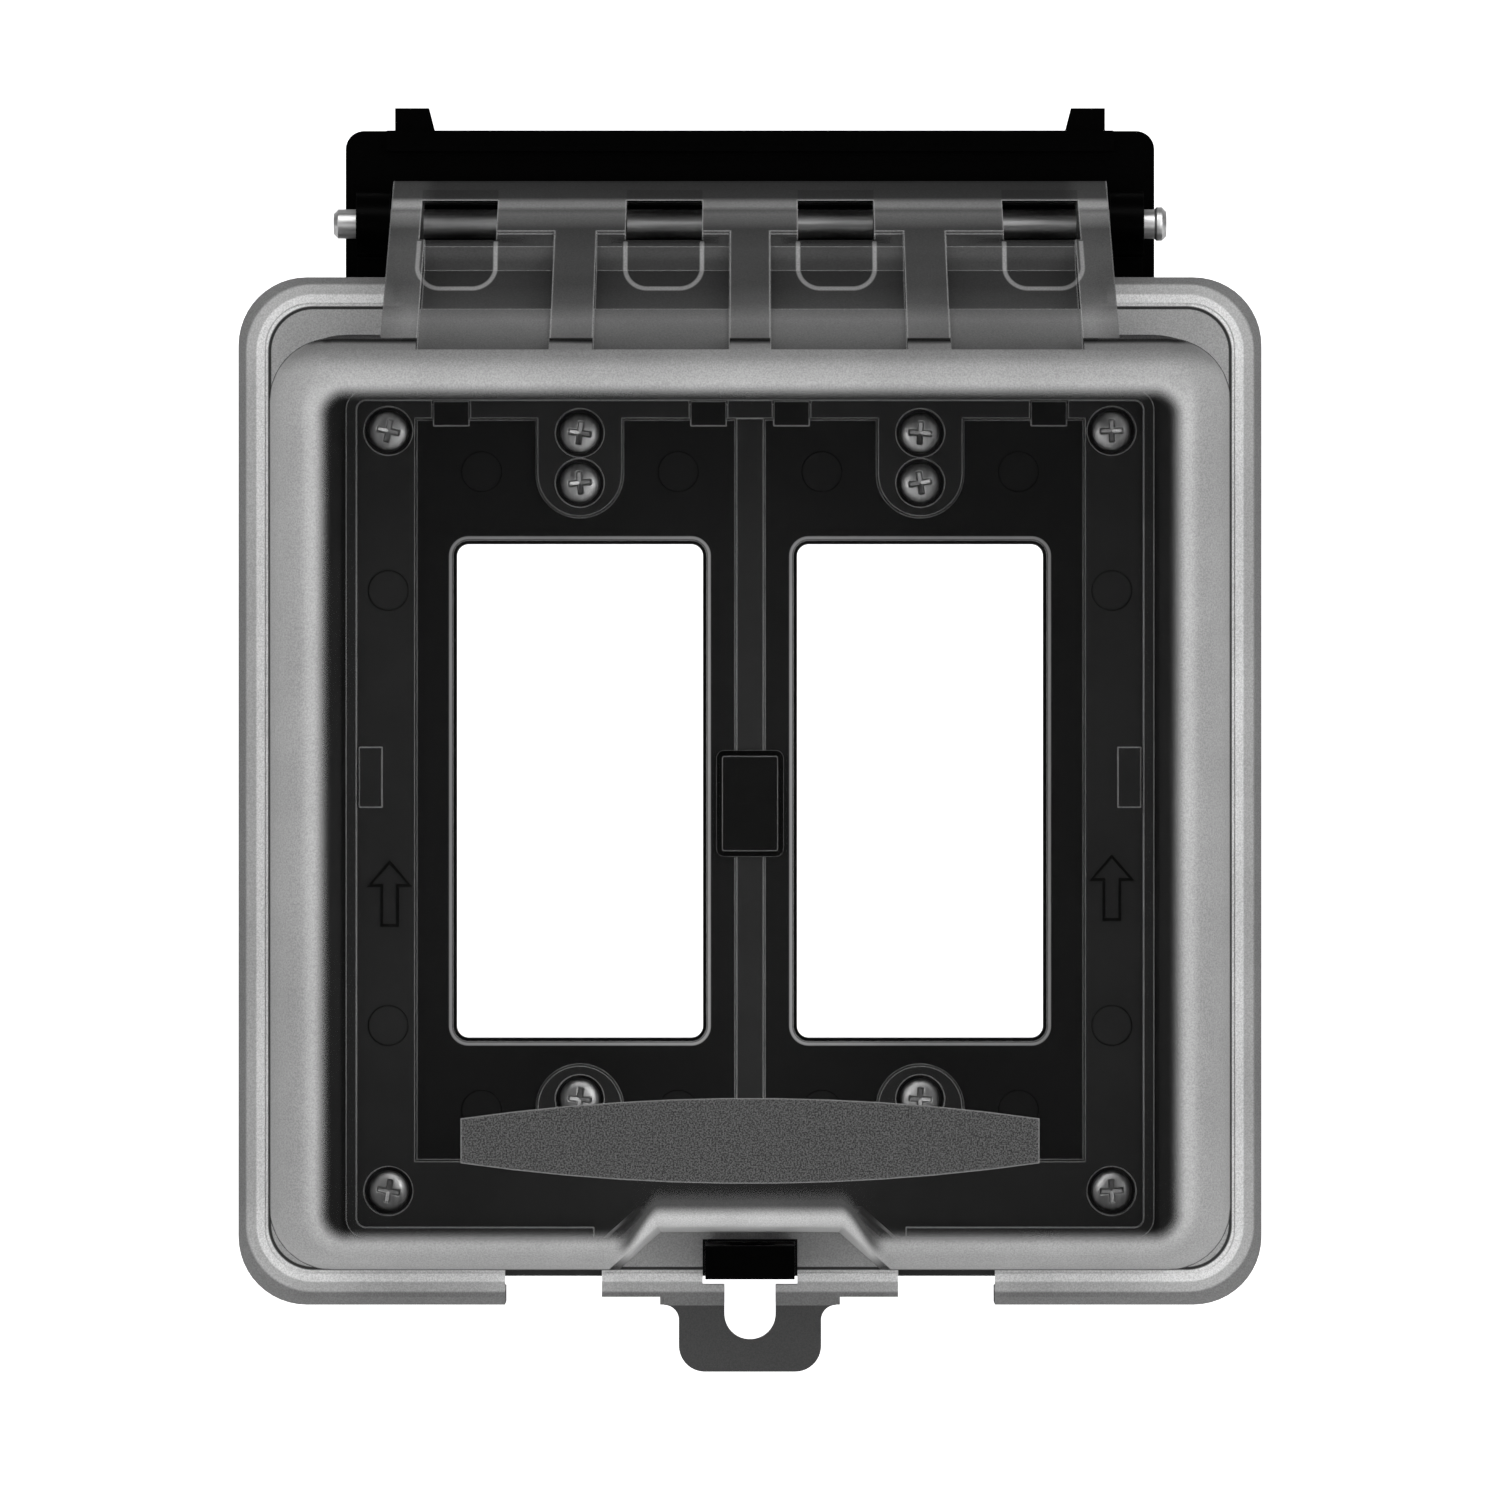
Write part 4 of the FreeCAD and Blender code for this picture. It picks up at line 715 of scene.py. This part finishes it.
add_piece("column_discs", lambda work: make_discs(
    work, [(side * COLUMN_MIDDLE, z) for side in (-1, 1) for z in COLUMN_DISCS], COLUMN_FACE),
    COLUMN_MARKS, "base", False)
add_piece("tab_catches", make_catches, BASE_PLASTIC, "base", False)
for side, label in ((-1, "left"), (1, "right")):
    spots = [(side * GANG + way * DISC_OUT, z) for way in (-1, 1) for z in (DISC_UP, -DISC_UP)]
    add_piece(f"{label}_plate_discs", lambda work: make_discs(work, spots, PLATE_FACE),
              PLATE_MARKS, "base", False)


# Plain arrows on the columns
ARROW_HEAD_HALF = 3.15 * MM
ARROW_STEM_HALF = 1.3 * MM
ARROW_HEAD = 3.7 * MM
ARROW_LONG = 9.1 * MM
ARROW_TALL = 0.22 * MM
ARROW_LINE = 0.45 * MM
ARROW_TIPS = {"left": (-48.7 * MM, -9.3 * MM), "right": (48.9 * MM, -8.5 * MM)}


def make_arrow(work, x, tip):
    """The raised outline of an arrow that points up."""
    def outline(inset):
        head = ARROW_HEAD_HALF - inset * 1.9
        stem = ARROW_STEM_HALF - inset
        shoulder = tip - ARROW_HEAD + inset
        foot = tip - ARROW_LONG + inset
        return [(x, tip - inset * 1.5), (x + head, shoulder), (x + stem, shoulder),
                (x + stem, foot), (x - stem, foot), (x - stem, shoulder), (x - head, shoulder)]

    loops = []
    for inset, out in ((0.0, -SUNK), (0.0, ARROW_TALL), (ARROW_LINE, ARROW_TALL), (ARROW_LINE, -SUNK)):
        loops.append([work.verts.new((px, COLUMN_FACE - out, pz)) for px, pz in outline(inset)])
    for first, second in zip(loops, loops[1:] + loops[:1]):
        skin(work, first, second)


for label, (x, tip) in ARROW_TIPS.items():
    add_piece(f"{label}_arrow", lambda work: make_arrow(work, x, tip),
              ARROW_PLASTIC, "base", False)


# Floor and backdrop in one white sweep, and soft lights, in metres and watts
STAGE_HALF = 6.0
STAGE_FLOOR = -0.16
STAGE_NEAR = -5.0
STAGE_TURN = 1.6
STAGE_BEND = 0.8
STAGE_TOP = 6.0
BEND_STEPS = 12
STAGE_SEEN = 1.1
STAGE_GLOW = 0.15
SKY_SEEN = 1.0
SKY_GLOW = 0.12
LIGHT_AIM = (0.0, -0.03, 0.0)
LIGHTS = (
    ("top_light", (0.0, -1.1, 1.2), (1.4, 0.5), 8.0),
    ("left_light", (-0.98, -1.6, 0.2), (0.4, 1.2), 11.5),
    ("right_light", (0.98, -1.6, 0.2), (0.4, 1.2), 15.5),
)


def seen_strength(tree, glow, seen):
    """One strength for what the camera sees directly, and a dimmer one for all other light."""
    sight = tree.nodes.new("ShaderNodeLightPath").outputs["Is Camera Ray"]
    return blend(tree, sight, glow, seen)


def make_stage():
    mesh = bpy.data.meshes.new("backdrop")
    points = [(STAGE_NEAR, STAGE_FLOOR)]
    for step in range(BEND_STEPS + 1):
        angle = math.radians(90 * step / BEND_STEPS)
        points.append((STAGE_TURN + STAGE_BEND * math.sin(angle),
                       STAGE_FLOOR + STAGE_BEND * (1 - math.cos(angle))))
    points.append((STAGE_TURN + STAGE_BEND, STAGE_TOP))
    verts = []
    for depth, height in points:
        verts.append((-STAGE_HALF, depth, height))
        verts.append((STAGE_HALF, depth, height))
    faces = [(2 * i, 2 * i + 1, 2 * i + 3, 2 * i + 2) for i in range(len(points) - 1)]
    mesh.from_pydata(verts, [], faces)
    for face in mesh.polygons:
        face.use_smooth = True
    stage = bpy.data.objects.new("backdrop", mesh)
    bpy.context.scene.collection.objects.link(stage)
    material, tree, shader = new_material("stage_white")
    shader.inputs["Base Color"].default_value = (0.9, 0.9, 0.9, 1.0)
    shader.inputs["Roughness"].default_value = 0.9
    shader.inputs["Emission Color"].default_value = (1.0, 1.0, 1.0, 1.0)
    connect(tree, shader.inputs["Emission Strength"], seen_strength(tree, STAGE_GLOW, STAGE_SEEN))
    mesh.materials.append(material)


def add_area(name, place, size, power):
    light = bpy.data.lights.new(name, "AREA")
    light.shape = "RECTANGLE"
    light.size, light.size_y = size
    light.energy = power
    lamp = bpy.data.objects.new(name, light)
    lamp.location = place
    direction = Vector(LIGHT_AIM) - Vector(place)
    lamp.rotation_euler = direction.to_track_quat("-Z", "Y").to_euler()
    bpy.context.scene.collection.objects.link(lamp)


def make_lights():
    """White to the camera, dim to everything else, so that black plastic stays black."""
    world = bpy.data.worlds.new("studio")
    world.use_nodes = True
    tree = world.node_tree
    backdrop = tree.nodes["Background"]
    backdrop.inputs["Color"].default_value = (1.0, 1.0, 1.0, 1.0)
    connect(tree, backdrop.inputs["Strength"], seen_strength(tree, SKY_GLOW, SKY_SEEN))
    bpy.context.scene.world = world
    for light in LIGHTS:
        add_area(*light)


def make_camera():
    data = bpy.data.cameras.new("camera")
    wide = PIXEL * FRAME_PIXELS
    data.sensor_width = SENSOR_MM
    data.lens = SENSOR_MM * VIEW_DISTANCE / wide
    data.clip_start = 0.05
    data.clip_end = 50.0
    camera = bpy.data.objects.new("camera", data)
    camera.location = (0.0, -FLANGE_DEPTH - VIEW_DISTANCE, AIM_HEIGHT)
    camera.rotation_euler = (math.radians(90.0), 0.0, 0.0)
    bpy.context.scene.collection.objects.link(camera)
    bpy.context.scene.camera = camera
    bpy.context.scene.view_settings.view_transform = "Standard"


make_stage()
make_lights()
make_camera()
